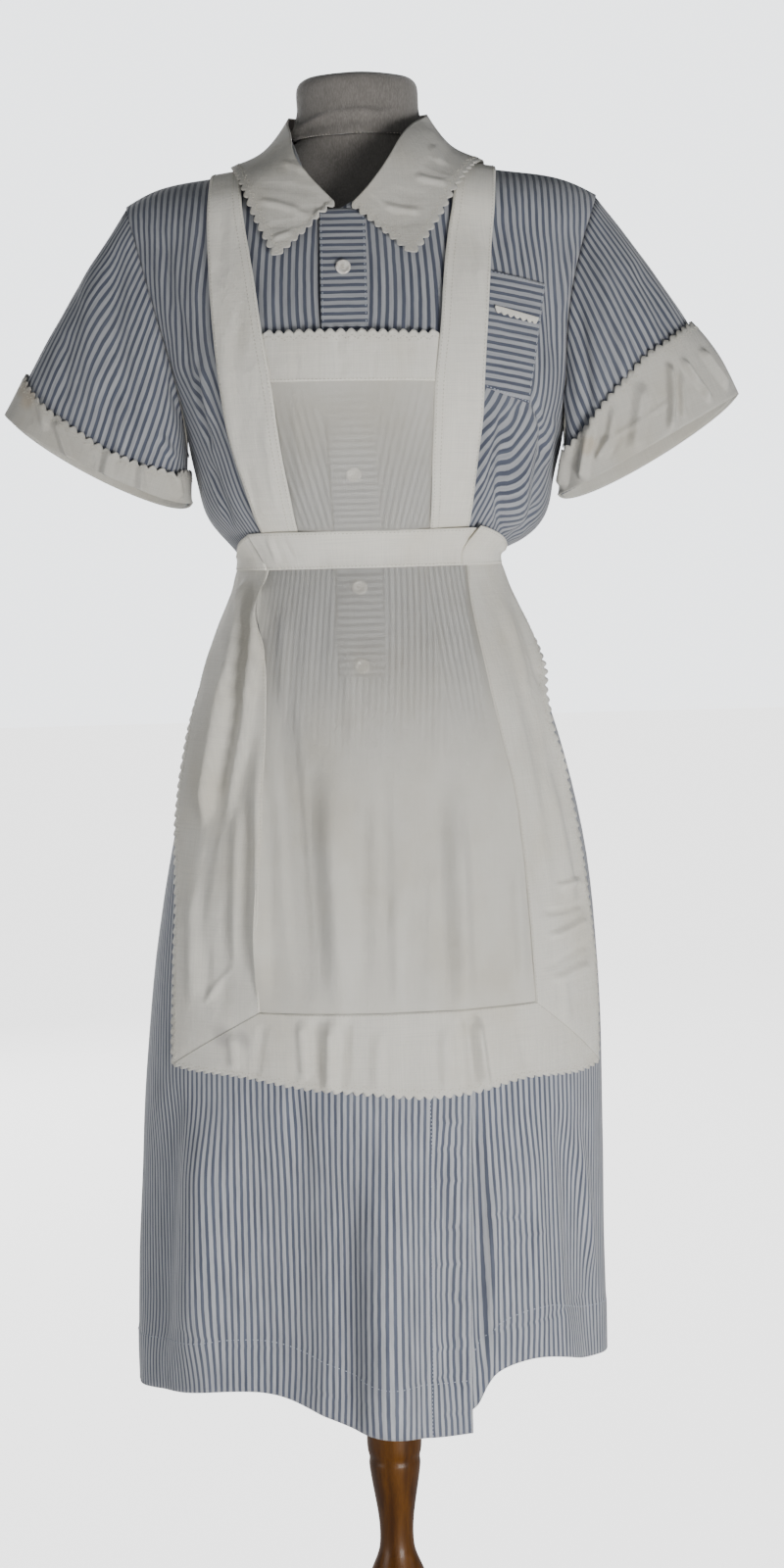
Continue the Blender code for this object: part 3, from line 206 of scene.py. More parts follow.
# %% [markdown]
# ## Spreading a sheet on a square
#
# To lay an even net on a curved sheet, each of its points first gets a place (s, t) on a unit
# square. The rim goes round the square's sides, and the inside settles like a stretched net of
# springs, which is a set of linear equations. A tube is first cut open along one line. Working
# from a flat square keeps the net regular, whatever the sheet's outline is.

# %% Springs
TIGHT = 1e-10
MAX_STEPS = 3000


def settle(first, second, stiff, pull, start, fixed):
    """Values at the springs' ends, where each spring wants second - first to be its pull."""
    value = start.astype(float).copy()
    count = len(value)

    def force(x, wanted):
        stretch = stiff * (x[second] - x[first] - wanted)
        total = np.bincount(first, stretch, count) - np.bincount(second, stretch, count)
        total[fixed] = 0.0
        return total

    weight = np.bincount(first, stiff, count) + np.bincount(second, stiff, count) + TINY
    left = force(value, pull)
    aim = left / weight
    best = left @ aim
    goal = TIGHT * max(best, 1e-30)
    for _ in range(MAX_STEPS):
        if best <= goal:
            break
        drag = -force(aim, 0.0)
        step = best / (aim @ drag)
        value += step * aim
        left -= step * drag
        eased = left / weight
        now = left @ eased
        aim = eased + now / best * aim
        best = now
    return value


def cut_open(bm, lower, upper):
    """Cuts a tube along the shortest way between two points of its rims."""
    rim = [v for v in bm.verts if v.is_boundary]
    start, end = nearest(rim, lower), nearest(rim, upper)
    came, far, queue = {start: None}, {start: 0.0}, [(0.0, start.index, start)]
    while queue:
        so_far, _, vert = heapq.heappop(queue)
        if vert == end:
            break
        for edge in vert.link_edges:
            other = edge.other_vert(vert)
            length = so_far + edge.calc_length()
            inside = other == end or not other.is_boundary
            if inside and length < far.get(other, math.inf):
                far[other], came[other] = length, edge
                heapq.heappush(queue, (length, other.index, other))
    way, vert = [], end
    while came[vert] is not None:
        way.append(came[vert])
        vert = came[vert].other_vert(vert)
    bmesh.ops.split_edges(bm, edges=way)


def rim_line(bm):
    """The vertices round the sheet's rim, with the sheet on their left."""
    onward = {}
    for edge in bm.edges:
        if edge.is_boundary:
            loop = edge.link_loops[0]
            onward[loop.vert] = loop.link_loop_next.vert
    line = [next(iter(onward))]
    while onward[line[-1]] != line[0]:
        line.append(onward[line[-1]])
    return line


# %% [markdown]
# The four corners are named by rough points. Between two corners the rim is shared out by its
# length, and the springs inside get the cotangent weights that keep angles.

# %% Square places
SIDES = ((0, 0, 1, 0), (1, 0, 0, 1), (1, 1, -1, 0), (0, 1, 0, -1))
STIFFNESS = 0.02, 50.0


def corner_places(line, corners):
    """Where along the rim the four corners are. A cut tube has two copies of each."""
    points = np.array([v.co for v in line])
    far = [np.linalg.norm(points - np.array(corner), axis=1) for corner in corners]
    if corners[0] != corners[1]:
        return [int(np.argmin(distance)) for distance in far]
    lower, upper = (sorted(np.argsort(far[k], kind="stable")[:2]) for k in (0, 3))
    marks = sorted([*lower, *upper])
    first = next(m for m, n in zip(marks, marks[1:] + marks[:1]) if m in lower and n in lower)
    turn = marks.index(first)
    return [int(m) for m in marks[turn:] + marks[:turn]]


def rim_places(line, corners):
    """The place on the square of each vertex of the rim, from the first corner round."""
    points = np.array([v.co for v in line])
    at = corner_places(line, corners)
    places, around = {}, 0
    for k, (s, t, ds, dt) in enumerate(SIDES):
        steps = (at[(k + 1) % 4] - at[k]) % len(line)
        around += steps
        run = [(at[k] + i) % len(line) for i in range(steps + 1)]
        lengths = np.linalg.norm(np.diff(points[run], axis=0), axis=1)
        share = np.concatenate(([0.0], np.cumsum(lengths))) / lengths.sum()
        for i, part in zip(run[:-1], share[:-1]):
            places[line[i]] = (s + ds * part, t + dt * part)
    assert around == len(line), "the corners run the wrong way round"
    return places


def square_places(bm, corners):
    """(s, t) of every vertex of a sheet of triangles."""
    bm.verts.index_update()
    places = rim_places(rim_line(bm), corners)
    points = np.array([v.co for v in bm.verts])
    start = np.full((len(points), 2), 0.5)
    for vert, place in places.items():
        start[vert.index] = place
    fixed = np.array(sorted(v.index for v in places))
    faces = np.array([[v.index for v in f.verts] for f in bm.faces])
    first, second, stiff = [], [], []
    for a, b, c in ((0, 1, 2), (1, 2, 0), (2, 0, 1)):
        to_a = points[faces[:, a]] - points[faces[:, c]]
        to_b = points[faces[:, b]] - points[faces[:, c]]
        area = np.linalg.norm(np.cross(to_a, to_b), axis=1)
        cotangent = (to_a * to_b).sum(axis=1) / np.maximum(area, TINY)
        first.append(faces[:, a])
        second.append(faces[:, b])
        stiff.append(np.clip(cotangent, *STIFFNESS))
    first, second, stiff = (np.concatenate(part) for part in (first, second, stiff))
    still = np.zeros(len(first))
    columns = [settle(first, second, stiff, still, start[:, k], fixed) for k in (0, 1)]
    return points, faces, np.stack(columns, axis=1)


# %% [markdown]
# ## Nets
#
# A net is an array of points, row by row. It is read off the square: under each of its knots
# lies one triangle, which gives the knot's place on the garment. Nets are shaped with numpy and
# become meshes last, through Blender's own grid.

# %% Nets
def smooth_net(net, times, ring=False):
    """The net with its inside eased by the mean of each knot's neighbours."""
    for _ in range(times):
        if ring:
            round_it = np.concatenate((net[:, -2:-1], net, net[:, 1:2]), axis=1)
            mean = (round_it[1:-1, :-2] + round_it[1:-1, 2:]) + (net[:-2] + net[2:])
            net[1:-1] += (mean / 4 - net[1:-1]) / 2
        else:
            mean = net[1:-1, :-2] + net[1:-1, 2:] + net[:-2, 1:-1] + net[2:, 1:-1]
            net[1:-1, 1:-1] += (mean / 4 - net[1:-1, 1:-1]) / 2
    return net


def smooth_line(line, times):
    """A line of points with its inside eased."""
    for _ in range(times):
        line[1:-1] += ((line[:-2] + line[2:]) / 2 - line[1:-1]) / 2
    return line


def net_normals(net, ring=False):
    """The unit normal at each knot, to the outer side when s runs to the right and t up."""
    along = np.gradient(net, axis=1)
    if ring:
        along[:, 0] = along[:, -1] = net[:, 1] - net[:, -2]
    up = np.gradient(net, axis=0)
    normal = np.cross(along, up)
    return normal / np.maximum(np.linalg.norm(normal, axis=2, keepdims=True), TINY)


def lay_net(name, corners, cells, ring=False, trim=False, easing=4):
    """A net on a node's outer face. The corners run round from the net's first knot."""
    sheet = rounded(outer_face(name, trim), corners)
    if ring:
        cut_open(sheet, corners[0], corners[3])
    points, faces, places = square_places(sheet, corners)
    sheet.free()
    flat = [(s, t, 0.0) for s, t in places]
    tree = BVHTree.FromPolygons(flat, faces.tolist())
    columns, rows = (np.linspace(0.0, 1.0, count + 1) for count in cells)
    net = np.zeros((len(rows), len(columns), 3))
    for j, t in enumerate(rows):
        for i, s in enumerate(columns):
            spot, _, face, _ = tree.find_nearest((s, t, 0.0))
            a, b, c = faces[face]
            net[j, i] = blend_corners(spot, places[[a, b, c]], points[[a, b, c]])
    if ring:
        net[:, 0] = net[:, -1] = (net[:, 0] + net[:, -1]) / 2
    smooth_net(net, easing, ring)
    print(f"{name}: {cells[0]} x {cells[1]} cells")
    return net


def blend_corners(spot, flat, corners):
    """The point of a triangle at the same place as a spot on its flat copy."""
    a, b, c = flat
    cross = (b[0] - a[0]) * (c[1] - a[1]) - (c[0] - a[0]) * (b[1] - a[1])
    if abs(cross) < 1e-14:
        return corners.mean(axis=0)
    v = ((spot[0] - a[0]) * (c[1] - a[1]) - (c[0] - a[0]) * (spot[1] - a[1])) / cross
    w = ((b[0] - a[0]) * (spot[1] - a[1]) - (spot[0] - a[0]) * (b[1] - a[1])) / cross
    return corners[0] * (1 - v - w) + corners[1] * v + corners[2] * w


# %% [markdown]
# ## The grain of the cloth
#
# Woven cloth has two directions: the stripes run along the warp, and the weft crosses them. The
# UV map holds both in metres, so that one material serves every piece at its true scale. At
# each knot the weft is the direction across the wanted grain, and the same springs as before
# give the coordinate that grows by a metre for each metre in that direction. Where cloth is
# gathered, it grows faster, so the stripes crowd together.

# %% Grain
UP = np.array([0.0, 0.0, 1.0])


def unit(vectors):
    """Vectors of length 1."""
    length = np.linalg.norm(vectors, axis=-1, keepdims=True)
    return vectors / np.maximum(length, TINY)


def net_springs(shape):
    """The springs of a net: along its rows, and then up its columns."""
    index = np.arange(shape[0] * shape[1]).reshape(shape)
    first = np.concatenate((index[:, :-1].ravel(), index[:-1].ravel()))
    second = np.concatenate((index[:, 1:].ravel(), index[1:].ravel()))
    return first, second


def grain_map(net, grain, crowd=1.0, lean=0.0):
    """UV of a net in metres: u across the grain, v along it."""
    shape = net.shape[:2]
    normal = net_normals(net)
    grain = np.broadcast_to(np.asarray(grain, float), net.shape)
    across = unit(np.cross(grain, normal))
    along = np.cross(normal, across)
    lean = np.broadcast_to(lean, shape)[..., None]
    across, along = (
        np.cos(lean) * across + np.sin(lean) * along,
        np.cos(lean) * along - np.sin(lean) * across,
    )
    across = across * np.broadcast_to(crowd, shape)[..., None]
    first, second = net_springs(shape)
    points = net.reshape(-1, 3)
    way = points[second] - points[first]
    stiff = 1.0 / np.maximum(np.linalg.norm(way, axis=1), 1e-5)
    stiff /= stiff.mean()
    middle = np.array([points.shape[0] // 2])
    found = []
    for direction in (across, along):
        field = direction.reshape(-1, 3)
        pull = (way * (field[first] + field[second]) / 2).sum(axis=1)
        start = points @ field.mean(axis=0)
        found.append(settle(first, second, stiff, pull, start, middle).reshape(shape))
    return np.stack(found, axis=2)


def leaning(net, patches):
    """How far the grain leans at each knot, from patches of (x, z), reach and degrees."""
    lean = np.zeros(net.shape[:2])
    for (x, z), (wide, high), degrees, wave in patches:
        off_x, off_z = net[..., 0] - x, net[..., 2] - z
        near = np.exp(-((off_x / wide) ** 2) - (off_z / high) ** 2)
        turn = degrees
        if wave:
            turn = degrees + wave[1] * np.sin(2 * math.pi * off_x / wave[0])
        lean += near * turn * (net[..., 1] < 0)
    return np.radians(lean)


# %% [markdown]
# ## Folds and creases
#
# Cotton that hangs has long soft folds, and cotton that has been worn or stored has short
# creases. Each is one row of numbers in millimetres: x and z of its start and of its end, half
# its width, how far it stands out (or sinks in, below zero) and, where needed, how far it bows
# and what share of it fades at each end. A slow noise keeps the cloth between from looking ironed.

# %% Folds
def eased(x):
    """0 to 1 along a smooth curve."""
    x = np.clip(x, 0.0, 1.0)
    return x * x * (3 - 2 * x)


FRONT, BACK = (0.0, -1.0, 0.0), (0.0, 1.0, 0.0)
SIDE_SHARPNESS = 3
SEED_STEP = (3.17, 1.31, 2.23)


def front(*rows):
    """Folds on the front of the garment."""
    return tuple((FRONT, *row) for row in rows)


def back(*rows):
    """Folds on its back."""
    return tuple((BACK, *row) for row in rows)


def fold(net, normal, side, x0, z0, x1, z1, half_width, depth, bow=0, fade=0.3):
    """How far a fold moves each knot along its normal."""
    start, end = (np.array(point) for point in in_mm((x0, z0), (x1, z1)))
    way = end - start
    length = np.linalg.norm(way)
    way /= length
    from_start = net[..., [0, 2]] - start
    place = from_start @ way / length
    off = from_start @ np.array([-way[1], way[0]])
    off = off - bow * MM * np.sin(np.clip(place, 0, 1) * math.pi)
    ends = eased(place / fade) * eased((1 - place) / fade)
    facing = eased((normal @ np.array(side)) * SIDE_SHARPNESS)
    return depth * MM * eased(1 - np.abs(off) / (half_width * MM)) * ends * facing


def rumple(net, size, seed, stretch=(1.0, 1.0, 1.0)):
    """Slow noise at each knot, from about -1 to 1."""
    out = np.empty(net.shape[:2])
    shift = Vector(seed * step for step in SEED_STEP)
    scale = Vector(stretch) / size
    for index in np.ndindex(out.shape):
        p = net[index]
        spot = Vector((p[0] * scale.x, p[1] * scale.y, p[2] * scale.z)) + shift
        out[index] = noise.noise(spot)
    return out


def creased(net, folds=(), noises=(), ring=False, edge_hold=0.0, deepest=8.0 * MM, free=1.0):
    """The net moved along its normals by its folds and its noise, and never in too deep."""
    normal = net_normals(net, ring)
    move = np.zeros(net.shape[:2])
    for row in folds:
        move += fold(net, normal, *row)
    for size, depth, seed, stretch in noises:
        move += depth * rumple(net, size, seed, stretch)
    move = np.where(move < 0, deepest * np.tanh(move / deepest), move)
    if edge_hold:
        move *= edge_share(net.shape[:2], edge_hold, ring)
    return net + normal * (move * free)[..., None]


def below(net, height, reach):
    """0 above a height, rising to 1 a reach below it."""
    return eased((height - net[..., 2]) / reach)


def edge_share(shape, share, ring=False):
    """0 on the net's rim, rising to 1 inside."""
    t = np.linspace(0, 1, shape[0])
    s = np.linspace(0, 1, shape[1])
    up = np.minimum(t, 1 - t) / share
    right = np.ones_like(s) if ring else np.minimum(s, 1 - s) / share
    return eased(up)[:, None] * eased(right)[None, :]


# %% [markdown]
# ## Scallops
#
# The collar, the cuffs and the apron are edged with small round scallops, cut and overcast by
# machine. They are made in the net: the rim is eased to its mean line first, and then each
# knot near it slides out or in within the cloth, by a rounded wave of the edge's own length.

# %% Scalloped edges
SCALLOP_PITCH = 8.8 * MM
SCALLOP_DEPTH = 4.0 * MM
SCALLOP_REACH = 7.0 * MM
SCALLOP_MIDDLE = 0.6
RIM_EASING = (40, 16, 8, 4)
OVERLAP = 8
TURNS = {"bottom": 0, "right": 1, "top": 2, "left": 3}


def from_side(net, side):
    """The net turned so that the side is its first row."""
    return np.rot90(net, TURNS[side]).copy()


def to_net(turned, side):
    """The net turned back."""
    return np.rot90(turned, -TURNS[side]).copy()


def way_in(turned):
    """How far each knot lies from the first row, within the cloth."""
    steps = np.linalg.norm(np.diff(turned, axis=0), axis=2)
    return np.concatenate((np.zeros((1, turned.shape[1])), np.cumsum(steps, axis=0)))


def run_along(line):
    """The length along a line at each of its points."""
    steps = np.linalg.norm(np.diff(line, axis=0), axis=1)
    return np.concatenate(([0.0], np.cumsum(steps)))


def ease_rim(turned, ring):
    """The first rows eased to the mean line of their scallops."""
    for row, times in enumerate(RIM_EASING):
        line = turned[row]
        if ring:
            joined = (line[-OVERLAP - 1 : -1], line, line[1 : OVERLAP + 1])
            line = smooth_line(np.concatenate(joined), times)[OVERLAP:-OVERLAP]
            line[0] = line[-1] = (line[0] + line[-1]) / 2
            turned[row] = line
        else:
            smooth_line(line, times)


def scalloped(
    net, sides, ring=False, pitch=SCALLOP_PITCH, depth=SCALLOP_DEPTH, reach=SCALLOP_REACH
):
    """The net with a scalloped rim on these sides."""
    for side in sides.split():
        turned = from_side(net, side)
        ease_rim(turned, ring)
        run = run_along(turned[0])
        count = round(run[-1] / pitch)
        wave = np.abs(np.sin(run / run[-1] * count * math.pi)) - SCALLOP_MIDDLE
        inward = unit(turned[3] - turned[0])
        share = 1 - eased(way_in(turned) / reach)
        turned -= inward[None] * (depth * wave[None] * share)[..., None]
        net = to_net(turned, side)
    return net


# %% [markdown]
# ## Tucking under
#
# Where two pieces are sewn, one runs on under the other. Its net is made a little longer on
# that side, and the new part sinks below the neighbour, so that no gap shows along the seam.

# %% Tucking a side under its neighbour
def tucked(net, sides, reach=3.0 * MM, sink=0.8 * MM):
    """The net made longer on these sides, under what it meets."""
    for side in sides.split():
        turned = from_side(net, side)
        normal = net_normals(turned)
        rows = min(4, turned.shape[0] - 1)
        outward = unit(turned[0] - turned[rows])
        near = 1 - eased(way_in(turned) / (4 * reach))
        push = reach * outward[None] * near[..., None]
        turned = turned + push - normal * (sink * near ** 2)[..., None]
        net = to_net(turned, side)
    return net


def hemmed(net, side, width, rise=0.6 * MM, soft=5.0 * MM):
    """A turned hem: the cloth within a width of the side is thicker by a layer."""
    turned = from_side(net, side)
    share = 1 - eased((way_in(turned) - width) / soft + 0.5)
    turned = turned + net_normals(turned) * (rise * share)[..., None]
    return to_net(turned, side)


# %% [markdown]
# ## Meshes from nets
#
# Blender's grid operator makes the faces and the UV map, and each of its points is carried to
# the net's knot. Solidify gives the cloth its thickness, inward from the outer face.

# %% Cloth meshes
CLOTH = 0.9 * MM
DOUBLED = 1.3 * MM


def finished(name, bm, look):
    """A smooth object at the origin with one material, which rides the part's only body."""
    mesh = bpy.data.meshes.new(name)
    bm.to_mesh(mesh)
    bm.free()
    mesh.shade_smooth()
    mesh.materials.append(look)
    thing = bpy.data.objects.new(name, mesh)
    bpy.context.scene.collection.objects.link(thing)
    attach(thing, "root")
    return thing


def cloth_mesh(name, net, uv, look, thick, ring, lining):
    """An object whose mesh is the net, with its UV map in metres."""
    rows, columns = net.shape[0] - 1, net.shape[1] - 1
    bm = bmesh.new()
    layer = bm.loops.layers.uv.new("UVMap")
    bmesh.ops.create_grid(bm, x_segments=columns, y_segments=rows, size=1.0)
    knots = {
        v: (round((v.co.y + 1) / 2 * rows), round((v.co.x + 1) / 2 * columns)) for v in bm.verts
    }
    for face in bm.faces:
        for loop in face.loops:
            loop[layer].uv = uv[knots[loop.vert]]
    for vert, knot in knots.items():
        vert.co = net[knot]
    if ring:
        bmesh.ops.remove_doubles(bm, verts=bm.verts, dist=MERGE)
    thing = finished(name, bm, look)
    if thick:
        wall = thing.modifiers.new("wall", "SOLIDIFY")
        wall.thickness, wall.offset = thick, -1.0
        if lining:
            thing.data.materials.append(lining)
            wall.material_offset = 1
    return thing


# %% [markdown]
# ## Stitches
#
# Every seam of the apron and the facings is sewn with a visible thread. A stitch is a tiny
# stretched ball that lies on the cloth, and a seam's stitches make one piece. They follow a
# line that runs at a set distance inside a side of the net.

# %% Stitches
STITCH = 2.3 * MM
STITCH_GAP = 1.1 * MM
THREAD_RADIUS = 0.32 * MM


def line_inside(net, side, inset):
    """Points and normals along a side, at a distance inside it."""
    turned = from_side(net, side)
    normal, depth = net_normals(turned), way_in(turned)
    rows = np.arange(depth.shape[1])
    row = np.clip((depth < inset).sum(axis=0), 1, depth.shape[0] - 1)
    low, high = depth[row - 1, rows], depth[row, rows]
    part = ((inset - low) / np.maximum(high - low, 1e-9))[:, None]
    points = turned[row - 1, rows] * (1 - part) + turned[row, rows] * part
    return points, normal[row, rows]


def stitch_places(points, normals, length=STITCH, gap=STITCH_GAP):
    """The place, turn and size of each stitch along a line of points, as matrices."""
    run = run_along(points)
    count = int(run[-1] / (length + gap))
    middles = run[-1] * ((np.arange(count) + 0.5) / max(count, 1))
    spots, ahead, outward = (
        np.stack([np.interp(at, run, values[:, k]) for k in range(3)], axis=1)
        for at, values in ((middles, points), (middles + length / 4, points), (middles, normals))
    )
    places = []
    for spot, next_spot, out in zip(spots, ahead, outward):
        way = Vector(next_spot - spot).normalized()
        out = Vector(out)
        up = (out - way * way.dot(out)).normalized()
        turn = Matrix((way, up.cross(way), up)).transposed().to_4x4()
        size = Matrix.Diagonal((length / 2, THREAD_RADIUS * 1.5, THREAD_RADIUS, 1.0))
        places.append(Matrix.Translation(Vector(spot) + up * THREAD_RADIUS * 0.4) @ turn @ size)
    return places


BATCH = 30


def sewn(name, lines, look):
    """One piece of stitches. A line is its points and normals, and may set a length and gap."""
    places = [place for line in lines for place in stitch_places(*line)]
    bm = bmesh.new()
    for first in range(0, len(places), BATCH):
        batch = bmesh.new()
        for place in places[first : first + BATCH]:
            bmesh.ops.create_uvsphere(batch, u_segments=5, v_segments=3, radius=1.0, matrix=place)
        passing = bpy.data.meshes.new("batch")
        batch.to_mesh(passing)
        batch.free()
        bm.from_mesh(passing)
        bpy.data.meshes.remove(passing)
    finished(name, bm, look)
    print(f"{name}: {len(places)} stitches")


# %% [markdown]
# ## Shader sums
#
# A material's pattern is a sum of small steps, and each step is a node. A wire wraps one
# socket, so that Python's own signs add the Math nodes, and one method adds any other node.

# %% Wires and paints
class Wire:
    """The value of a socket, for sums in a material."""

    def __init__(self, paint, socket):
        self.paint, self.socket = paint, socket

    def sum(self, operation, first, second=0.0):
        return self.paint.node("Math", {"operation": operation}, {0: first, 1: second})

    def __add__(self, other):
        return self.sum("ADD", self, other)

    def __sub__(self, other):
        return self.sum("SUBTRACT", self, other)

    def __mul__(self, other):
        return self.sum("MULTIPLY", self, other)

    def __truediv__(self, other):
        return self.sum("DIVIDE", self, other)

    def __rsub__(self, other):
        return self.sum("SUBTRACT", other, self)

    __radd__, __rmul__ = __add__, __mul__

    def __abs__(self):
        return self.sum("ABSOLUTE", self)

    def part(self):
        """The part after the decimal point."""
        return self.sum("FRACT", self)

    def wave(self):
        return self.sum("SINE", self)

    def rise(self, start, end):
        """0 at start and 1 at end, along a smooth curve."""
        return self.paint.node(
            "MapRange",
            {"interpolation_type": "SMOOTHSTEP"},
            {"Value": self, "From Min": start, "From Max": end},
        )


class Paint:
    """A material, with one method that adds any node."""

    def __init__(self, name, **constants):
        self.material = bpy.data.materials.new(name)
        self.material.use_nodes = True
        self.tree = self.material.node_tree
        self.shader = self.tree.nodes["Principled BSDF"]
        for key, value in constants.items():
            self.shader.inputs[key.replace("_", " ")].default_value = value

    def node(self, kind, settings, values, out=0):
        """A node with its settings, then its sockets' values or wires, as a wire of one output."""
        made = self.tree.nodes.new("ShaderNode" + kind)
        for key, value in settings.items():
            setattr(made, key, value)
        known = {s.identifier: s for s in made.inputs}
        for key, value in values.items():
            self.feed(known.get(key) or made.inputs[key], value)
        return Wire(self, made.outputs[out])

    def feed(self, socket, value):
        if isinstance(value, Wire):
            self.tree.links.new(value.socket, socket)
        elif isinstance(value, tuple) and socket.type == "RGBA" and len(value) == 3:
            socket.default_value = (*value, 1.0)
        else:
            socket.default_value = value

    def place(self, kind="Object"):
        """Object coordinates, or the UV map in metres."""
        outputs = {"Object": 3, "UV": 2}
        return self.node("TexCoord", {}, {}, outputs[kind])

    def axis(self, vector, index):
        return self.node("SeparateXYZ", {}, {0: vector}, index)

    def noise(self, vector, scale, detail=2.0, rough=0.5):
        """Noise at one scale, or at a scale for each axis."""
        if isinstance(scale, tuple):
            vector, scale = self.node("Mapping", {}, {0: vector, "Scale": scale}), 1.0
        values = {"Vector": vector, "Scale": scale, "Detail": detail, "Roughness": rough}
        return self.node("TexNoise", {}, values)

    def mix(self, share, first, second, way="MIX"):
        values = {"Factor_Float": share, "A_Color": first, "B_Color": second}
        return self.node("Mix", {"data_type": "RGBA", "blend_type": way}, values, 2)

    def bump(self, height, depth):
        """A normal from a height of 0 to 1, over a depth in metres."""
        values = {"Height": height, "Distance": depth, "Strength": 1.0}
        return self.node("Bump", {}, values)

    def set(self, **wires):
        for key, wire in wires.items():
            self.feed(self.shader.inputs[key.replace("_", " ")], wire)
        return self.material


# %% [markdown]
# ## Striped cotton
#
# The dress is a woven stripe: dark blue threads over nearly half of each repeat, on a pale grey
# blue ground. The threads make the stripe's edge a little uneven, and long wear has rubbed the
# colour. The bodice's cloth is toned darker than the skirt's: painted shade, for the light that
# falls off towards the shoulders.

# %% Striped cotton
STRIPE_PITCH = 6.3 * MM
THREAD = 0.42 * MM
THREAD_SHARE = 0.08
DRESS_PUCKERS = 1.2 * MM
SKIRT_PITCH = 5.5 * MM
STRIPE_SHARE, STRIPE_EDGE = 0.46, 0.05
PALE_BLUE = (0.40, 0.42, 0.47)
GROUND = (0.36, 0.372, 0.400), (0.50, 0.513, 0.545)
DARK_BLUE = (0.058, 0.068, 0.104), (0.11, 0.125, 0.180)


def toned(colour, tone):
    """A colour made darker. Numbers alone are worked out here, not by a node."""
    return tuple(part * tone for part in colour)


def weave(u, v):
    """A plain weave's height, from threads over and under each other."""
    over = (u * (math.pi / THREAD)).wave()
    under = (v * (math.pi / THREAD)).wave()
    return over * under * 0.5 + 0.5


def striped_cotton(name, pitch=STRIPE_PITCH, across=0, tone=0.80):
    """Woven stripes across u (0) or v (1)."""
    paint = Paint(name, Roughness=0.82, Sheen_Weight=0.25, Sheen_Roughness=0.5)
    uv = paint.place("UV")
    u, v = paint.axis(uv, across), paint.axis(uv, 1 - across)
    waver = paint.noise(uv, (90.0, 90.0, 1.0), 1.0)
    fibre = paint.noise(uv, (2400.0, 2400.0, 1.0), 1.0)
    place = u / pitch + (waver - 0.5) * 0.10 + (fibre - 0.5) * 0.06
    off = abs(place.part() - 0.5)
    half = STRIPE_SHARE / 2
    dark = 1 - off.rise(half - STRIPE_EDGE, half + STRIPE_EDGE)
    slub_scale = (500.0, 24.0, 1.0) if across == 0 else (24.0, 500.0, 1.0)
    slub = paint.noise(uv, slub_scale, 2.0)
    faded = paint.noise(uv, (14.0, 9.0, 1.0), 3.0)
    # A tone below 1 is painted shade: the bodice, sleeves, band and pocket get 0.80, the skirt 1.
    ground = paint.mix(slub.rise(0.25, 0.8), *(toned(colour, tone) for colour in GROUND))
    thread = paint.mix(slub.rise(0.2, 0.8), *(toned(colour, tone) for colour in DARK_BLUE))
    colour = paint.mix(dark, ground, thread)
    colour = paint.mix(faded.rise(0.35, 0.75) * 0.10, colour, PALE_BLUE)
    ripple = paint.noise(uv, (55.0, 38.0, 1.0), 3.0, 0.6)
    height = weave(u, v) * THREAD_SHARE + ripple
    return paint.set(Base_Color=colour, Normal=paint.bump(height, DRESS_PUCKERS))


# %% [markdown]
# ## Cream cotton
#
# The collar, the cuffs and the doubled bands of the apron are plain cream cotton, a little
# yellowed with age. Their cloth, and the sleeve facing, is toned darker than the rest: painted
# shade. Single cloth is so thin that the dress shows through it, so the sheer one has the same
# weave with an Alpha below 1: clearest around the waist, where it lies flat on the dress, and
# denser where a slub runs.

# %% Cream cotton
CREAM = (0.86, 0.835, 0.76)
SHEER_MIDDLE, SHEER_HALF = 1.09, 0.20
DENSE = 0.82
CREAM_PUCKERS = 1.9 * MM
AGED = (0.66, 0.60, 0.47)


def cream_cotton(name, spots=(), sheer=None, tone=1.0):
    """Plain cream cotton. Spots are stains, as a place, a radius, a colour and a strength."""
    paint = Paint(name, Roughness=0.86, Sheen_Weight=0.2, Sheen_Roughness=0.5)
    uv, spot_place = paint.place("UV"), paint.place()
    u, v = paint.axis(uv, 0), paint.axis(uv, 1)
    aged = paint.noise(uv, (11.0, 8.0, 1.0), 4.0, 0.6)
    slub_up = paint.noise(uv, (900.0, 22.0, 1.0), 1.0)
    slub_over = paint.noise(uv, (22.0, 900.0, 1.0), 1.0)
    slub = (slub_up + slub_over) * 0.5
    # A tone below 1 darkens the whole cloth. On the collar, the cuffs, the sleeve facing and the
    # apron's bands it is painted shade.
    ground = toned(CREAM, tone)
    colour = paint.mix(aged.rise(0.40, 0.80) * 0.55, ground, toned(AGED, tone))
    colour = paint.mix(slub.rise(0.35, 0.7) * 0.30, colour, toned(ground, 0.7))
    for centre, radius, stain, strength in spots:
        far = paint.node("VectorMath", {"operation": "DISTANCE"}, {0: spot_place, 1: centre}, 1)
        ragged = far + (aged - 0.5) * radius * 1.4
        mask = 1 - ragged.rise(radius * 0.35, radius)
        colour = paint.mix(mask * strength, colour, stain)
    ripple = paint.noise(uv, (60.0, 45.0, 1.0), 4.0, 0.6)
    height = weave(u, v) * THREAD_SHARE + slub * 0.15 + ripple
    wires = {"Base_Color": colour, "Normal": paint.bump(height, CREAM_PUCKERS)}
    if sheer:
        height_up = paint.axis(spot_place, 2)
        clear = 1 - abs(height_up - SHEER_MIDDLE).rise(0.05, SHEER_HALF)
        wires["Alpha"] = DENSE - clear * (DENSE - sheer) + (slub - 0.5) * 0.2
    return paint.set(**wires)


# %% [markdown]
# ## Jersey, wood, pearl and thread
#
# The form is covered in a fine grey-brown jersey: columns of small loops. Its stand is turned
# wood under an amber varnish, with the grain running up the pole. The buttons are pearly, and
# thread is a plain cream twist.

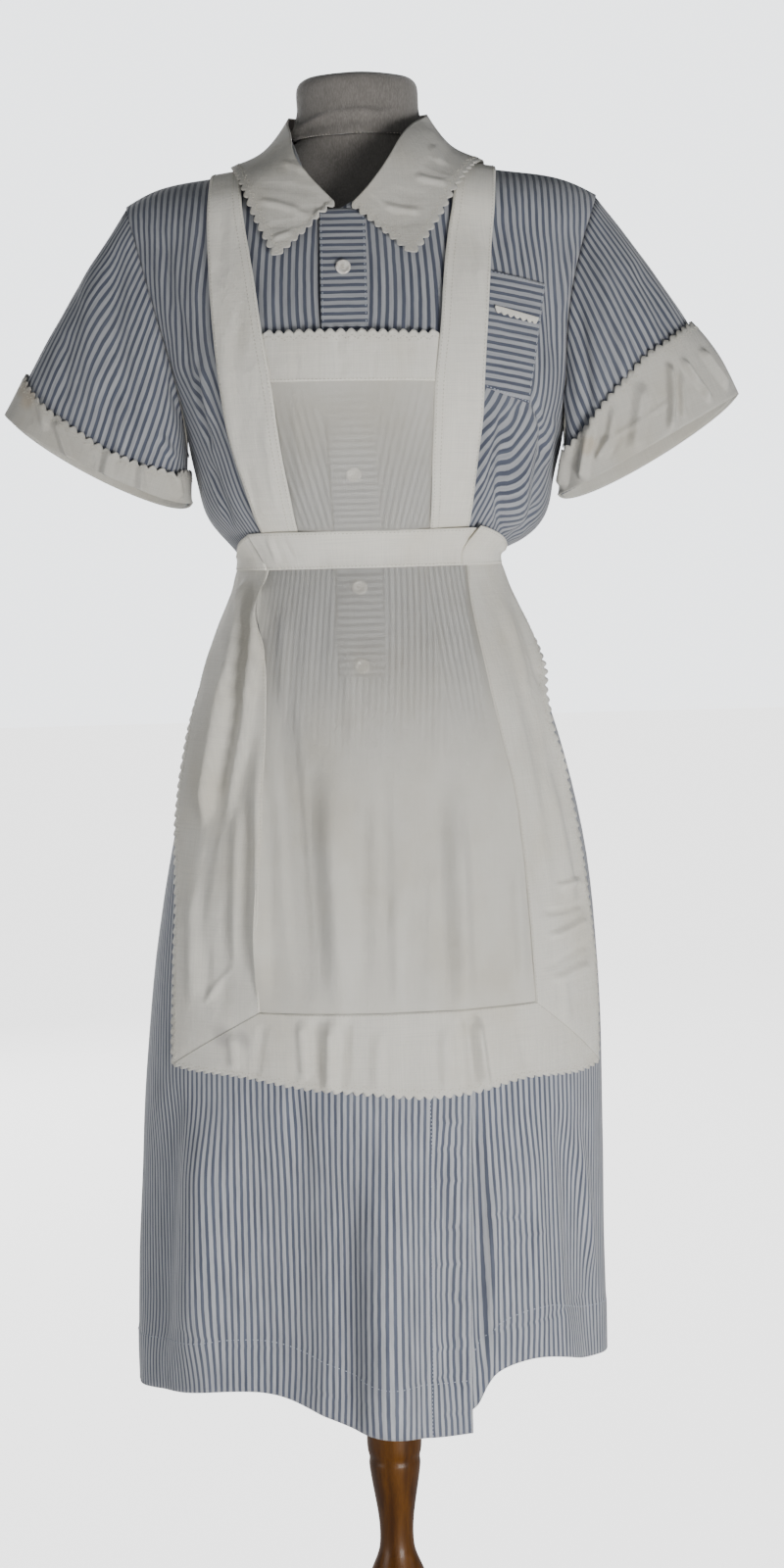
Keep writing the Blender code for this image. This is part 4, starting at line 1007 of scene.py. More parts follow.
# %% Other finishes
def jersey(name):
    paint = Paint(name, Roughness=0.9, Sheen_Weight=0.35, Sheen_Roughness=0.5)
    place = paint.place()
    patch = paint.noise(place, 22.0, 4.0, 0.6)
    rib = paint.noise(place, (900.0, 900.0, 260.0), 2.0)
    colour = paint.mix(patch.rise(0.3, 0.75), (0.135, 0.124, 0.113), (0.20, 0.184, 0.168))
    colour = paint.mix(rib.rise(0.3, 0.8) * 0.5, colour, (0.30, 0.282, 0.262))
    return paint.set(Base_Color=colour, Normal=paint.bump(rib * 0.5 + patch, 0.8 * MM))


def varnished_wood(name):
    paint = Paint(name, Specular_IOR_Level=0.25, Coat_Weight=0.12, Coat_Roughness=0.18)
    place = paint.place()
    grain = paint.noise(place, (70.0, 70.0, 5.0), 4.0, 0.6)
    pore = paint.noise(place, (900.0, 900.0, 30.0), 2.0)
    colour = paint.mix(grain.rise(0.3, 0.72), (0.042, 0.0125, 0.0006), (0.130, 0.046, 0.0022))
    colour = paint.mix(pore.rise(0.55, 0.8) * 0.4, colour, (0.022, 0.008, 0.002))
    rough = 0.30 + grain * 0.14
    bump = paint.bump(pore + grain, 0.15 * MM)
    return paint.set(Base_Color=colour, Roughness=rough, Normal=bump)


def pearl(name):
    paint = Paint(name, Roughness=0.22, Coat_Weight=0.6, Coat_Roughness=0.1)
    cloud = paint.noise(paint.place(), (260.0, 260.0, 90.0), 3.0)
    colour = paint.mix(cloud.rise(0.3, 0.7), (0.50, 0.47, 0.42), (0.80, 0.77, 0.72))
    return paint.set(Base_Color=colour)


def sewing_thread(name, light, dark):
    paint = Paint(name, Roughness=0.6, Sheen_Weight=0.3)
    twist = paint.noise(paint.place(), 1500.0, 1.0)
    return paint.set(Base_Color=paint.mix(twist, dark, light))


# The bodice, the sleeves, the band and the pocket use cloth toned to 0.80: painted shade.
STRIPED_SHADED = striped_cotton("striped cotton")
STRIPED_ACROSS_SHADED = striped_cotton("striped cotton across", across=1)
STRIPED_SKIRT = striped_cotton("striped cotton of the skirt", SKIRT_PITCH, tone=1.0)
CREAM_CLOTH = cream_cotton("cream cotton")
# The sleeve facing is cream cotton toned to 0.72: painted shade inside the sleeve.
SHADED_LINING = cream_cotton("sleeve facing in painted shade", tone=0.72)
# The collar is cream cotton toned to 0.68: painted shade, for light that falls off towards the
# shoulders.
COLLAR_SHADED_CLOTH = cream_cotton("collar cotton in painted shade", tone=0.68)
RUST, DARN = (0.40, 0.29, 0.16), (0.36, 0.34, 0.33)
# The cuffs are cream cotton toned to 0.68: painted shade. Their brown spots are rust stains.
CUFF_SHADED_CLOTH = cream_cotton("cuff cotton in painted shade", (
    ((-0.293, -0.030, 1.242), 15 * MM, RUST, 0.45),
    ((-0.301, -0.020, 1.253), 11 * MM, RUST, 0.35),
    ((0.193, -0.060, 1.189), 12 * MM, RUST, 0.35),
    ((0.184, -0.060, 1.168), 9 * MM, RUST, 0.30),
), tone=0.68)
# The apron's bands are cream cotton toned to 0.86: painted shade. Their grey spots are darns.
BAND_SHADED_CLOTH = cream_cotton("mended cotton in painted shade", (
    ((-0.135, -0.111, 0.689), 15 * MM, DARN, 0.65),
    ((-0.116, -0.120, 0.687), 13 * MM, DARN, 0.70),
), tone=0.86)
SHEER_CLOTH = cream_cotton("sheer cotton", sheer=0.45, tone=0.93)
JERSEY = jersey("grey jersey")
WOOD = varnished_wood("turned wood")
PEARL = pearl("pearl button")
THREAD_CREAM = sewing_thread("cream thread", (0.72, 0.69, 0.60), (0.50, 0.47, 0.39))
THREAD_BLUE = sewing_thread("pale blue thread", (0.50, 0.54, 0.62), (0.28, 0.31, 0.38))
print("materials", len(bpy.data.materials))

# %% [markdown]
# ## Every piece as a row
#
# All the cloth is made alike, so one function finishes a piece and hides the node it replaces.
# The tables below give each piece's corners in millimetres, round it as seen from outside, from
# the lower left, then the cells across and up its net, and last its flat width and length in
# metres and, where it isn't near a rectangle, its area.

# %% Making a piece
PIECES = {}
SLOW, QUICK = 0.11, 0.035


def cloth(
    name, net, uv, material,
    thick=CLOTH, ring=False, lining=None,
):
    """A finished piece of cloth in place of the node of its name."""
    piece = cloth_mesh(name + "_cloth", net, uv, material, thick, ring, lining)
    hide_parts(name)
    PIECES[name] = net


def eased_noise(coarse, fine, seed, stretch=(1.0, 1.0, 1.0)):
    """Two sizes of noise, as rows for creased()."""
    return ((SLOW, coarse, seed, stretch), (QUICK, fine, seed + 5, stretch))


# %% [markdown]
# ## The skirt
#
# Three flared panels hang from the waist. The left front laps over the right one, and its edge
# is a pressed facing. Each panel is cut with the stripes along its length, so they stay
# parallel to the middle and run out at the side seams. One table of folds serves all three, so
# that a fold runs on across a seam, and it fades in below the waist, where the cloth hangs free.

# %% Skirt
SKIRT_PANELS = {
    "skirt_front_left": (
        in_mm((-230, 0, 352), (69, -151, 343), (47, -82, 1100), (-116, 0, 1100)),
        (90, 170), (0.42, 0.80), 0.270,
    ),
    "skirt_front_right": (
        in_mm((35, -162, 356), (197, 0, 370), (115, 0, 1100), (25, -84, 1100)),
        (64, 170), (0.36, 0.80), 0.190,
    ),
    "skirt_back": (
        in_mm((197, 0, 370), (-230, 0, 352), (-116, 0, 1100), (115, 0, 1100)),
        (130, 150), (0.68, 0.80), 0.430,
    ),
}
SKIRT_HEM = 48.0 * MM
FACING = 40.0 * MM
SKIRT_FOLDS = front(
    (-74, 625, -86, 354, 44, -10), (2, 627, -5, 308, 34, 9), (-151, 631, -177, 365, 34, 8),
    (-203, 633, -221, 366, 22, -6), (45, 626, 52, 350, 15, -7, 0, 0.25),
    (107, 616, 115, 357, 32, 6), (166, 614, 175, 364, 18, -5),
    (-74, 655, -79, 440, 15, -9, 0, 0.25), (-41, 585, -44, 318, 22, -9, 4),
    (1, 584, -2, 290, 34, 12, 0, 0.35), (-55, 534, -30, 343, 9, -4), (-153, 640, -166, 373, 26, 4),
    (-184, 649, -204, 383, 16, -5, 0, 0.2), (-115, 647, -118, 363, 20, -3),
    (39, 362, 69, 358, 4, -1.6), (-85, 383, 17, 373, 4, -0.9, 0, 0.2),
    (-198, 424, -84, 411, 4, -0.9, 0, 0.2), (79, 636, 80, 383, 9, -7, 0, 0.2),
    (93, 575, 83, 366, 7, 5), (124, 626, 128, 400, 16, 4, 3),
    (151, 617, 164, 407, 11, -5, 3, 0.25), (168, 599, 183, 442, 8, 5, 2),
    (80, 534, 124, 520, 4, -1.6), (89, 504, 141, 509, 4, 1), (73, 427, 187, 435, 4, -1.1, 0, 0.15),
) + back(
    (-60, 1080, -85, 400, 20, -8, 4), (50, 1080, 75, 400, 18, -7, -3), (-5, 1000, 4, 380, 22, 6),
    (-120, 950, -160, 380, 18, 6), (110, 980, 140, 390, 16, 5), (-30, 1090, -40, 760, 10, -5),
    (25, 1090, 34, 800, 9, -5), (85, 1085, 105, 850, 9, -4), (-85, 1085, -110, 830, 9, -4),
    (40, 700, 46, 390, 14, 4),
)
FACING_PUCKERS = front(
    (31, 635, 26, 337, 5, -1.2, 0, 0.1), (40, 592, 70, 586, 5, -3), (39, 561, 68, 565, 6, 2.5),
    (34, 527, 66, 522, 5, -3), (36, 465, 68, 460, 6, -3), (35, 420, 69, 422, 6, 3),
    (34, 394, 70, 388, 5, -3), (40, 612, 70, 615, 6, 2.5), (35, 494, 67, 489, 6, 3),
)
SKIRT_NOISE = eased_noise(1.8 * MM, 0.9 * MM, 1, (1.0, 1.0, 0.35))
WAIST, WAIST_REACH = 1.10, 0.05
for name, (corners, cells, flat, area) in SKIRT_PANELS.items():
    net = lay_net(name, corners, cells)
    uv = grain_map(net, UP)
    laps_over = name == "skirt_front_left"
    folds = SKIRT_FOLDS + (FACING_PUCKERS if laps_over else ())
    net = creased(net, folds, SKIRT_NOISE, free=below(net, WAIST, WAIST_REACH))
    net = hemmed(net, "bottom", SKIRT_HEM)
    if laps_over:
        net = hemmed(net, "right", FACING)
    cloth(name, net, uv, STRIPED_SKIRT)

# %% [markdown]
# ## The bodice
#
# Two fronts and a back, sewn at the shoulders and sides, and bloused over the waistband. Over
# the shoulder the warp turns with the cloth, so the wanted grain leans back as it rises.

# %% Bodice
BODICE_PANELS = {
    "bodice_front_left": (
        in_mm((-116, 0, 1100), (-29, -90, 1100), (-61, 0, 1470), (-207, 0, 1411)),
        (60, 116), (0.26, 0.46), 0.085,
    ),
    "bodice_front_right": (
        in_mm((-24, -89, 1100), (115, 0, 1100), (209, 0, 1411), (61, 0, 1470)),
        (70, 116), (0.30, 0.46), 0.105,
    ),
    "bodice_back": (
        in_mm((114, 0, 1100), (-116, 0, 1100), (-207, 0, 1411), (209, 0, 1411)),
        (116, 116), (0.48, 0.46), 0.175,
    ),
}
SHOULDER_TURN = (1.37, 1.45)


def over_shoulder(net, toward):
    """Grain that runs up, and then over the shoulder towards the back or the front."""
    low, high = SHOULDER_TURN
    turn = eased((net[..., 2] - low) / (high - low))
    return np.stack((np.zeros_like(turn), toward * turn, 1 - 0.95 * turn), axis=2)


BODICE_LEANS = {
    "bodice_front_left": (((-0.130, 1.120), (0.030, 0.030), 12, None),),
    "bodice_front_right": (
        ((0.126, 1.168), (0.030, 0.062), -74, (0.034, 26)),
        ((0.100, 1.215), (0.014, 0.030), -18, None),
        ((0.157, 1.205), (0.016, 0.050), -18, None),
        ((0.142, 1.115), (0.022, 0.020), -30, None),
    ),
    "bodice_back": (
        ((-0.110, 1.150), (0.035, 0.050), -18, None),
        ((0.115, 1.145), (0.035, 0.050), 16, None),
    ),
}
DART_TOP, DART_LOW = (-0.144, 1.261), (-0.134, 1.193)
DART_TURN = 50
GATHERED_FROM, GATHERED_OVER, GATHERED = 1.19, 0.08, 0.16


def dart_lean(net):
    """The side of the left front leans where the bust dart takes it in."""
    x, z = net[..., 0], net[..., 2]
    slope = (DART_LOW[0] - DART_TOP[0]) / (DART_LOW[1] - DART_TOP[1])
    dart = DART_TOP[0] + slope * (z - DART_TOP[1])
    side = 1 - eased((x - dart) / (5 * MM) + 0.5)
    under = eased((DART_TOP[1] + 0.012 - z) / 0.022)
    less = 1 - 0.4 * eased((GATHERED_FROM - z) / 0.07)
    return np.radians(DART_TURN) * side * under * less * (net[..., 1] < 0.02)


def gathered_in(net):
    """How much closer the stripes run towards the gathered waist."""
    return 1 + GATHERED * eased((GATHERED_FROM - net[..., 2]) / GATHERED_OVER)


BODICE_FOLDS = {
    "bodice_front_left": front(
        (-143, 1261, -133, 1192, 5, -3.5, -3, 0.2), (-138, 1273, -129, 1210, 6, 3, -3),
        (-161, 1329, -149, 1245, 8, -3), (-137, 1185, -118, 1125, 6, -4),
        (-156, 1160, -137, 1117, 7, 4), (-171, 1384, -163, 1304, 9, -2.5),
        (-145, 1404, -141, 1303, 10, 2), (-69, 1377, -60, 1301, 9, -1.5),
    ),
    "bodice_front_right": front(
        (96, 1136, 115, 1237, 8, 5, 3), (116, 1109, 121, 1204, 7, -7, 4, 0.25),
        (149, 1233, 129, 1105, 12, 8, -4, 0.25), (143, 1237, 155, 1177, 5, -5),
        (164, 1219, 155, 1169, 6, 4), (108, 1204, 142, 1230, 6, -3), (121, 1108, 151, 1142, 6, -4),
        (162, 1362, 165, 1253, 9, -3), (130, 1405, 133, 1346, 10, 2),
        (188, 1382, 171, 1295, 8, 2.5), (31, 1366, 25, 1299, 9, -1.2),
    ),
    "bodice_back": back(
        (-50, 1105, -62, 1235, 9, -5), (46, 1105, 60, 1225, 9, -5), (-116, 1110, -128, 1210, 9, 3),
        (114, 1110, 125, 1205, 9, 3), (0, 1110, 2, 1215, 12, 4), (-20, 1105, -26, 1170, 6, -3),
        (90, 1130, 104, 1240, 9, -4), (-92, 1130, -108, 1245, 9, -4),
        (-150, 1400, -120, 1290, 12, -2.5), (150, 1400, 122, 1285, 12, -2.5),
    ),
}
for number, (name, (corners, cells, flat, area)) in enumerate(BODICE_PANELS.items()):
    net = lay_net(name, corners, cells, trim=True)
    lean = leaning(net, BODICE_LEANS[name])
    if name == "bodice_front_left":
        lean += dart_lean(net)
    grain = over_shoulder(net, -1 if name == "bodice_back" else 1)
    uv = grain_map(net, grain, gathered_in(net), lean)
    noises = eased_noise(1.0 * MM, 0.6 * MM, number + 11)
    net = creased(net, BODICE_FOLDS[name], noises, edge_hold=0.05, deepest=6.0 * MM)
    net = tucked(net, "bottom")
    cloth(name, net, uv, STRIPED_SHADED)

# %% [markdown]
# ## Sleeves and cuffs
#
# A sleeve is a short tube with its seam under the arm, and its cuff is turned back over it with
# the scalloped edge upwards. The stripes run down the sleeve, along its own axis.

# %% Sleeves
SLEEVE_ENDS = {
    "sleeve_left": in_mm((-159, -4, 1150), (-159, 0, 1190)),
    "sleeve_right": in_mm((172, -4, 1148), (175, 0, 1190)),
}
SLEEVE_CELLS = (140, 64)
SLEEVE_GRAIN = {"sleeve_left": (0.34, 0.0, 0.94), "sleeve_right": (-0.32, 0.0, 0.95)}
SLEEVE_FOLDS = {
    "sleeve_left": front(
        (-213, 1387, -194, 1193, 14, -7, -10, 0.25), (-234, 1373, -229, 1213, 16, 4, -6),
        (-185, 1362, -165, 1245, 11, 4), (-176, 1329, -160, 1211, 8, -4),
        (-258, 1306, -264, 1231, 11, -3), (-214, 1246, -213, 1187, 9, 3),
        (-182, 1212, -167, 1186, 6, 3),
    ) + back(
        (-235, 1370, -290, 1260, 14, -4), (-200, 1340, -215, 1210, 12, 4),
        (-176, 1300, -185, 1190, 8, -4),
    ),
    "sleeve_right": front(
        (202, 1370, 227, 1218, 13, 4, 4), (185, 1320, 193, 1193, 9, -5, 3, 0.25),
        (238, 1352, 271, 1275, 12, -3), (174, 1253, 184, 1185, 7, 4),
        (214, 1319, 222, 1218, 8, -2.5),
    ) + back(
        (235, 1370, 290, 1260, 14, -4), (202, 1340, 220, 1210, 12, 4),
        (180, 1300, 192, 1190, 8, -4),
    ),
}
for number, (name, (lower, upper)) in enumerate(SLEEVE_ENDS.items()):
    corners = (lower, lower, upper, upper)
    net = lay_net(name, corners, SLEEVE_CELLS, ring=True, trim=True)
    uv = grain_map(net, SLEEVE_GRAIN[name])
    noises = eased_noise(1.0 * MM, 0.6 * MM, number + 21)
    net = creased(net, SLEEVE_FOLDS[name], noises, ring=True, edge_hold=0.06)
    # The inner side takes the sleeve facing, toned darker as painted shade.
    cloth(
        name, net, uv, STRIPED_SHADED,
        ring=True, lining=SHADED_LINING,
    )

# %% [markdown]
# The cuffs are tubes too. Their nets are finer round the arm, where the scallops need it, and
# their creases never sink below the sleeve.

# %% Cuffs
CUFF_ENDS = {
    "cuff_left": in_mm((-156, -4, 1150), (-156, -2, 1173)),
    "cuff_right": in_mm((169, -4, 1148), (170, -2, 1169)),
}
CUFF_CELLS = (420, 24)
CUFF_FOLDS = {
    "cuff_left": front(
        (-270, 1226, -258, 1183, 5, 5.5, 0, 0.2), (-221, 1203, -230, 1170, 7, 7, 0, 0.2),
        (-194, 1192, -200, 1157, 6, 6.5, 0, 0.2), (-171, 1193, -167, 1151, 6, 7, 0, 0.2),
        (-286, 1253, -279, 1213, 6, 3.5), (-299, 1247, -292, 1221, 4, -1.8),
        (-242, 1202, -238, 1180, 4, -1.5),
    ) + back(
        (-215, 1205, -210, 1165, 6, -2.5), (-262, 1235, -255, 1195, 6, 2),
    ),
    "cuff_right": front(
        (275, 1264, 303, 1224, 5, 6.5, 0, 0.2), (294, 1272, 320, 1236, 5, 6.5, 0, 0.2),
        (265, 1260, 265, 1198, 5, 9, 2, 0.15), (275, 1254, 277, 1206, 4, 4.5),
        (241, 1244, 233, 1182, 9, 7, 0, 0.2), (217, 1228, 208, 1175, 5, 5.5),
        (195, 1213, 189, 1158, 6, 9, 0, 0.2), (180, 1202, 172, 1151, 5, 7, 0, 0.2),
        (200, 1175, 212, 1200, 4, 5.5), (207, 1191, 266, 1226, 3, 2, 0, 0.1),
        (208, 1175, 224, 1199, 4, -2), (288, 1247, 296, 1227, 4, -2.4),
    ) + back(
        (225, 1230, 215, 1165, 7, -3), (275, 1255, 265, 1195, 7, 2.5),
    ),
}
for number, (name, (lower, upper)) in enumerate(CUFF_ENDS.items()):
    corners, sleeve = (lower, lower, upper, upper), name.replace("cuff", "sleeve")
    net = lay_net(name, corners, CUFF_CELLS, ring=True, easing=2)
    uv = grain_map(net, SLEEVE_GRAIN[sleeve])
    noises = eased_noise(0.8 * MM, 0.7 * MM, number + 31)
    net = creased(net, CUFF_FOLDS[name], noises, ring=True, deepest=0.9 * MM)
    net = scalloped(net, "top", ring=True)
    cloth(
        name, net, uv, CUFF_SHADED_CLOTH,
        thick=DOUBLED, ring=True,
    )

# %% [markdown]
# ## The collar
#
# Two halves of a flat shirt collar meet at the nape and part at the front. The net is fine
# enough for its scallops along the outer edge and up the front edge.

# %% Collar
COLLAR_HALVES = {
    "collar_left": (
        in_mm((0, 103, 1429), (-72, -118, 1353), (-20, -106, 1397), (0, 63, 1489)),
        "right",
    ),
    "collar_right": (
        in_mm((44, -118, 1353), (0, 103, 1429), (0, 63, 1489), (-8, -106, 1397)),
        "left",
    ),
}
COLLAR_CELLS = (270, 42)
COLLAR_FOLDS = {
    "collar_left": front(
        (-87, 1416, -30, 1404, 5, -1.6, 2), (-90, 1403, -41, 1387, 5, 2.5, 2),
        (-81, 1379, -38, 1383, 5, -1.8), (-68, 1438, -38, 1424, 6, 2),
        (-41, 1383, -22, 1399, 4, 3), (-56, 1393, -22, 1394, 4, -1.6),
        (-62, 1454, -55, 1421, 6, -1.2), (-76, 1368, -56, 1374, 4, 2),
    ),
    "collar_right": front(
        (21, 1411, 61, 1402, 5, -1.6, -2), (11, 1398, 57, 1389, 5, 2.5, -2),
        (54, 1435, 83, 1424, 6, -2.2), (45, 1420, 78, 1413, 5, 2.5), (8, 1403, 24, 1391, 4, -1.6),
        (24, 1377, 52, 1381, 4, -1.4), (62, 1451, 72, 1429, 6, 2),
    ),
}
for number, (name, (corners, front_side)) in enumerate(COLLAR_HALVES.items()):
    net = lay_net(name, corners, COLLAR_CELLS, easing=2)
    uv = grain_map(net, UP)
    noises = eased_noise(0.9 * MM, 0.6 * MM, number + 41)
    net = creased(net, COLLAR_FOLDS[name], noises, deepest=1.0 * MM)
    net = scalloped(net, "bottom " + front_side)
    cloth(
        name, net, uv, COLLAR_SHADED_CLOTH,
        thick=DOUBLED,
    )

# %% [markdown]
# ## The button band and the pocket
#
# The band is cut across the cloth, so its stripes lie level, and so do the pocket's, which
# hangs a little aslant. A row also gives the direction across the stripes and what the piece
# lies on. Below the pocket's hem runs a row of small points.

# %% Band and pocket
ACROSS_PARTS = {
    "placket": (
        in_mm((-28, -92, 1100), (11, -92, 1100), (5, -101, 1393), (-34, -102, 1394)),
        (18, 110), (0.0, 0.0, 1.0), (0.040, 0.31), "bodice_front_left",
    ),
    "placket_lower": (
        in_mm((-28, -114, 995), (12, -116, 995), (11, -92, 1100), (-29, -92, 1100)),
        (18, 40), (0.0, 0.0, 1.0), (0.040, 0.11), "skirt_front_left",
    ),
    "chest_pocket": (
        in_mm((97, -117, 1241), (141, -86, 1225), (158, -69, 1328), (100, -99, 1342)),
        (28, 48), (0.14, 0.05, 1.0), (0.058, 0.112), "bodice_front_right",
    ),
}
for number, (name, (corners, cells, grain, flat, under)) in enumerate(ACROSS_PARTS.items()):
    net = lay_net(name, corners, cells)
    uv = grain_map(net, grain)
    net = creased(net, (), eased_noise(0.5 * MM, 0.4 * MM, number + 51), edge_hold=0.1)
    cloth(name, net, uv, STRIPED_ACROSS_SHADED)

# %% [markdown]
# The points under the pocket's hem are small scallops on the lower side of one narrow net.

# %% Pocket points
TRIM_CORNERS = in_mm((113, -104, 1305), (151, -81, 1295), (151, -80, 1299), (113, -103, 1309))
net = lay_net("pocket_trim", TRIM_CORNERS, (72, 8), easing=0)
net = scalloped(net, "bottom", pitch=6.5 * MM, depth=2.8 * MM, reach=3.6 * MM)
cloth(
    "pocket_trim", net, grain_map(net, UP), CREAM_CLOTH,
)

# %% [markdown]
# ## The apron
#
# The apron's skirt is one sheer panel in a frame of doubled bands with mitred corners, and its
# outer edge is scalloped. All four share one table of folds. A row also names the sides that
# run on under a neighbour and the scalloped side. The bib above the waistband has a doubled top
# band, and two straps go over the shoulders to the back waist.

# %% Apron skirt
APRON_PARTS = {
    "apron_panel": (
        in_mm((-105, -135, 711), (134, -116, 711), (85, -67, 1088), (-88, -65, 1088)),
        (84, 130), "top left right bottom", "", (0.34, 0.39), 0.10,
    ),
    "apron_band_left": (
        in_mm((-185, -85, 660), (-105, -135, 711), (-89, -65, 1088), (-113, 33, 1088)),
        (28, 390), "top bottom", "left", (0.13, 0.46), 0.050,
    ),
    "apron_band_right": (
        in_mm((134, -116, 711), (192, -54, 647), (113, 30, 1088), (85, -67, 1088)),
        (28, 390), "top bottom", "right", (0.12, 0.46), 0.040,
    ),
    "apron_hem_band": (
        in_mm((-184, -86, 659), (192, -54, 647), (134, -116, 711), (-105, -135, 711)),
        (340, 30), "", "bottom", (0.42, 0.072), 0.0245,
    ),
}
APRON_FOLDS = front(
    (-81, 1024, -65, 704, 13, -9, 2), (-98, 958, -102, 705, 10, 11),
    (-38, 940, -32, 694, 20, 15, 0, 0.35), (8, 922, 7, 774, 7, -6),
    (37, 870, 25, 684, 13, -8, 0, 0.35), (67, 920, 71, 683, 15, 13.5, 0, 0.35),
    (98, 886, 110, 716, 14, -3.5, 0, 0.35), (-9, 905, -12, 736, 8, -2.5),
    (-73, 1066, -80, 941, 9, 4), (65, 1070, 99, 936, 12, -3), (52, 1054, 58, 903, 10, 2.5),
    (14, 820, 14, 710, 7, 3.5), (119, 843, 123, 711, 8, 4), (-39, 1073, -49, 973, 12, -1.8),
    (-22, 1039, -17, 922, 10, 2), (-96, 1094, -145, 846, 5, -8, 4, 0.12),
    (-105, 1093, -152, 865, 7, 12, 4, 0.15), (-88, 1094, -132, 864, 6, 7, 4, 0.2),
    (-110, 1075, -137, 958, 5, -4, 2, 0.25), (-89, 1082, -111, 957, 6, 5.5, 2),
    (-120, 1025, -156, 857, 9, 5.5, 2), (-135, 924, -159, 771, 8, -4),
    (-117, 906, -126, 736, 9, 5.5), (-130, 822, -139, 702, 8, -3), (-161, 823, -164, 703, 9, 4),
    (-127, 753, -157, 711, 5, 2.5), (-150, 771, -151, 711, 5, -2),
    (122, 1065, 149, 972, 5, -4, 3, 0.25), (110, 1068, 135, 966, 7, 4, 3),
    (140, 1025, 171, 892, 6, 4.5, 4), (127, 992, 154, 846, 8, -4, 2),
    (147, 915, 170, 777, 9, 5.5, 2), (133, 881, 144, 777, 8, -3),
    (187, 792, 141, 788, 5, -3, 3, 0.25), (187, 778, 144, 765, 5, 4, 2, 0.25),
    (188, 757, 138, 739, 5, -3.5, 2, 0.25), (186, 737, 147, 726, 6, 4),
    (183, 811, 153, 807, 5, 3.5), (159, 734, 163, 682, 6, 2.5),
    (-57, 710, -55, 655, 6, -4, 0, 0.2), (-69, 707, -67, 651, 7, 4, 0, 0.2),
    (-29, 710, -35, 639, 6, -4, 0, 0.25), (-43, 710, -46, 636, 9, 9.5, 0, 0.25),
    (-103, 703, -110, 652, 6, -3, 0, 0.25), (26, 704, 22, 633, 10, -3),
    (67, 707, 72, 633, 5, -4.5, 0, 0.2), (80, 708, 87, 636, 8, 11, 0, 0.25),
    (53, 702, 54, 634, 8, 4), (119, 697, 126, 650, 6, -2.5), (-129, 695, -128, 657, 8, 4),
    (-3, 700, -5, 636, 10, 3.5),
)
APRON_NOISE = eased_noise(2.4 * MM, 1.5 * MM, 61, (1.0, 1.0, 0.45))
APRON_TOP, APRON_REACH = 1.09, 0.02


def apron_look(name, doubled):
    """Look, slot and thickness: the two panels are single and sheer, the rest is doubled."""
    if name.endswith("panel"):
        return SHEER_CLOTH, "sheer_cotton", None
    return doubled, "cream_cotton", DOUBLED


for name, (corners, cells, tucks, edge, flat, area) in APRON_PARTS.items():
    net = lay_net(name, corners, cells)
    uv = grain_map(net, UP)
    free = below(net, APRON_TOP, APRON_REACH)
    net = creased(net, APRON_FOLDS, APRON_NOISE, deepest=3.0 * MM, free=free)
    net = scalloped(tucked(net, tucks), edge)
    look, slot, thick = apron_look(name, BAND_SHADED_CLOTH)
    cloth(
        name, net, uv, look,
        thick=thick,
    )

# %% [markdown]
# The smaller pieces of the apron follow. A row says how far its sides run on under a neighbour,
# in millimetres, and after the flat size what the piece rests on and how it is held.

# %% Bib, straps and waistband
BIB_PARTS = {
    "bib_panel": (
        in_mm((-61, -98, 1122), (53, -94, 1122), (59, -133, 1244), (-78, -138, 1247)),
        (52, 56), "left right top bottom", 3, (0.150, 0.130), "bodice_front_left", "stretched",
    ),
    "bib_band": (
        in_mm((-78, -138, 1247), (59, -133, 1245), (62, -129, 1287), (-81, -134, 1289)),
        (124, 26), "left right", 2, (0.145, 0.045), "bodice_front_left", "stretched",
    ),
    "strap_left": (
        in_mm((-94, -83, 1122), (-61, -97, 1122), (-57, 77, 1105), (-88, 60, 1105)),
        (14, 260), "bottom top", 3, (0.040, 0.82), "bodice_front_left", "laid",
    ),
    "strap_right": (
        in_mm((53, -94, 1122), (87, -80, 1122), (87, 64, 1104), (55, 79, 1105)),
        (14, 260), "bottom top", 3, (0.040, 0.82), "bodice_front_right", "laid",
    ),
    "waistband": (
        in_mm((-92, -60, 1089), (85, -65, 1089), (98, -75, 1120), (-106, -69, 1120)),
        (90, 16), "", 0, (0.220, 0.034), "bodice_front_left", "stretched",
    ),
    "tie_left": (
        in_mm((-17, 87, 1089), (-94, -61, 1089), (-106, -69, 1119), (-17, 85, 1103)),
        (80, 12), "right", 4, (0.022, 0.20), "skirt_back", "stretched",
    ),
    "tie_right": (
        in_mm((86, -65, 1089), (17, 87, 1089), (17, 85, 1102), (103, -78, 1120)),
        (80, 12), "left", 9, (0.024, 0.21), "skirt_back", "stretched",
    ),
    "tail_left": (
        in_mm((-20, 144, 839), (-43, 138, 839), (-24, 90, 1080), (-2, 91, 1080)),
        (12, 90), "", 0, (0.023, 0.26), "skirt_back", "hung",
    ),
    "tail_right": (
        in_mm((42, 143, 839), (20, 145, 839), (2, 92, 1080), (25, 89, 1080)),
        (12, 90), "", 0, (0.023, 0.26), "skirt_back", "hung",
    ),
}
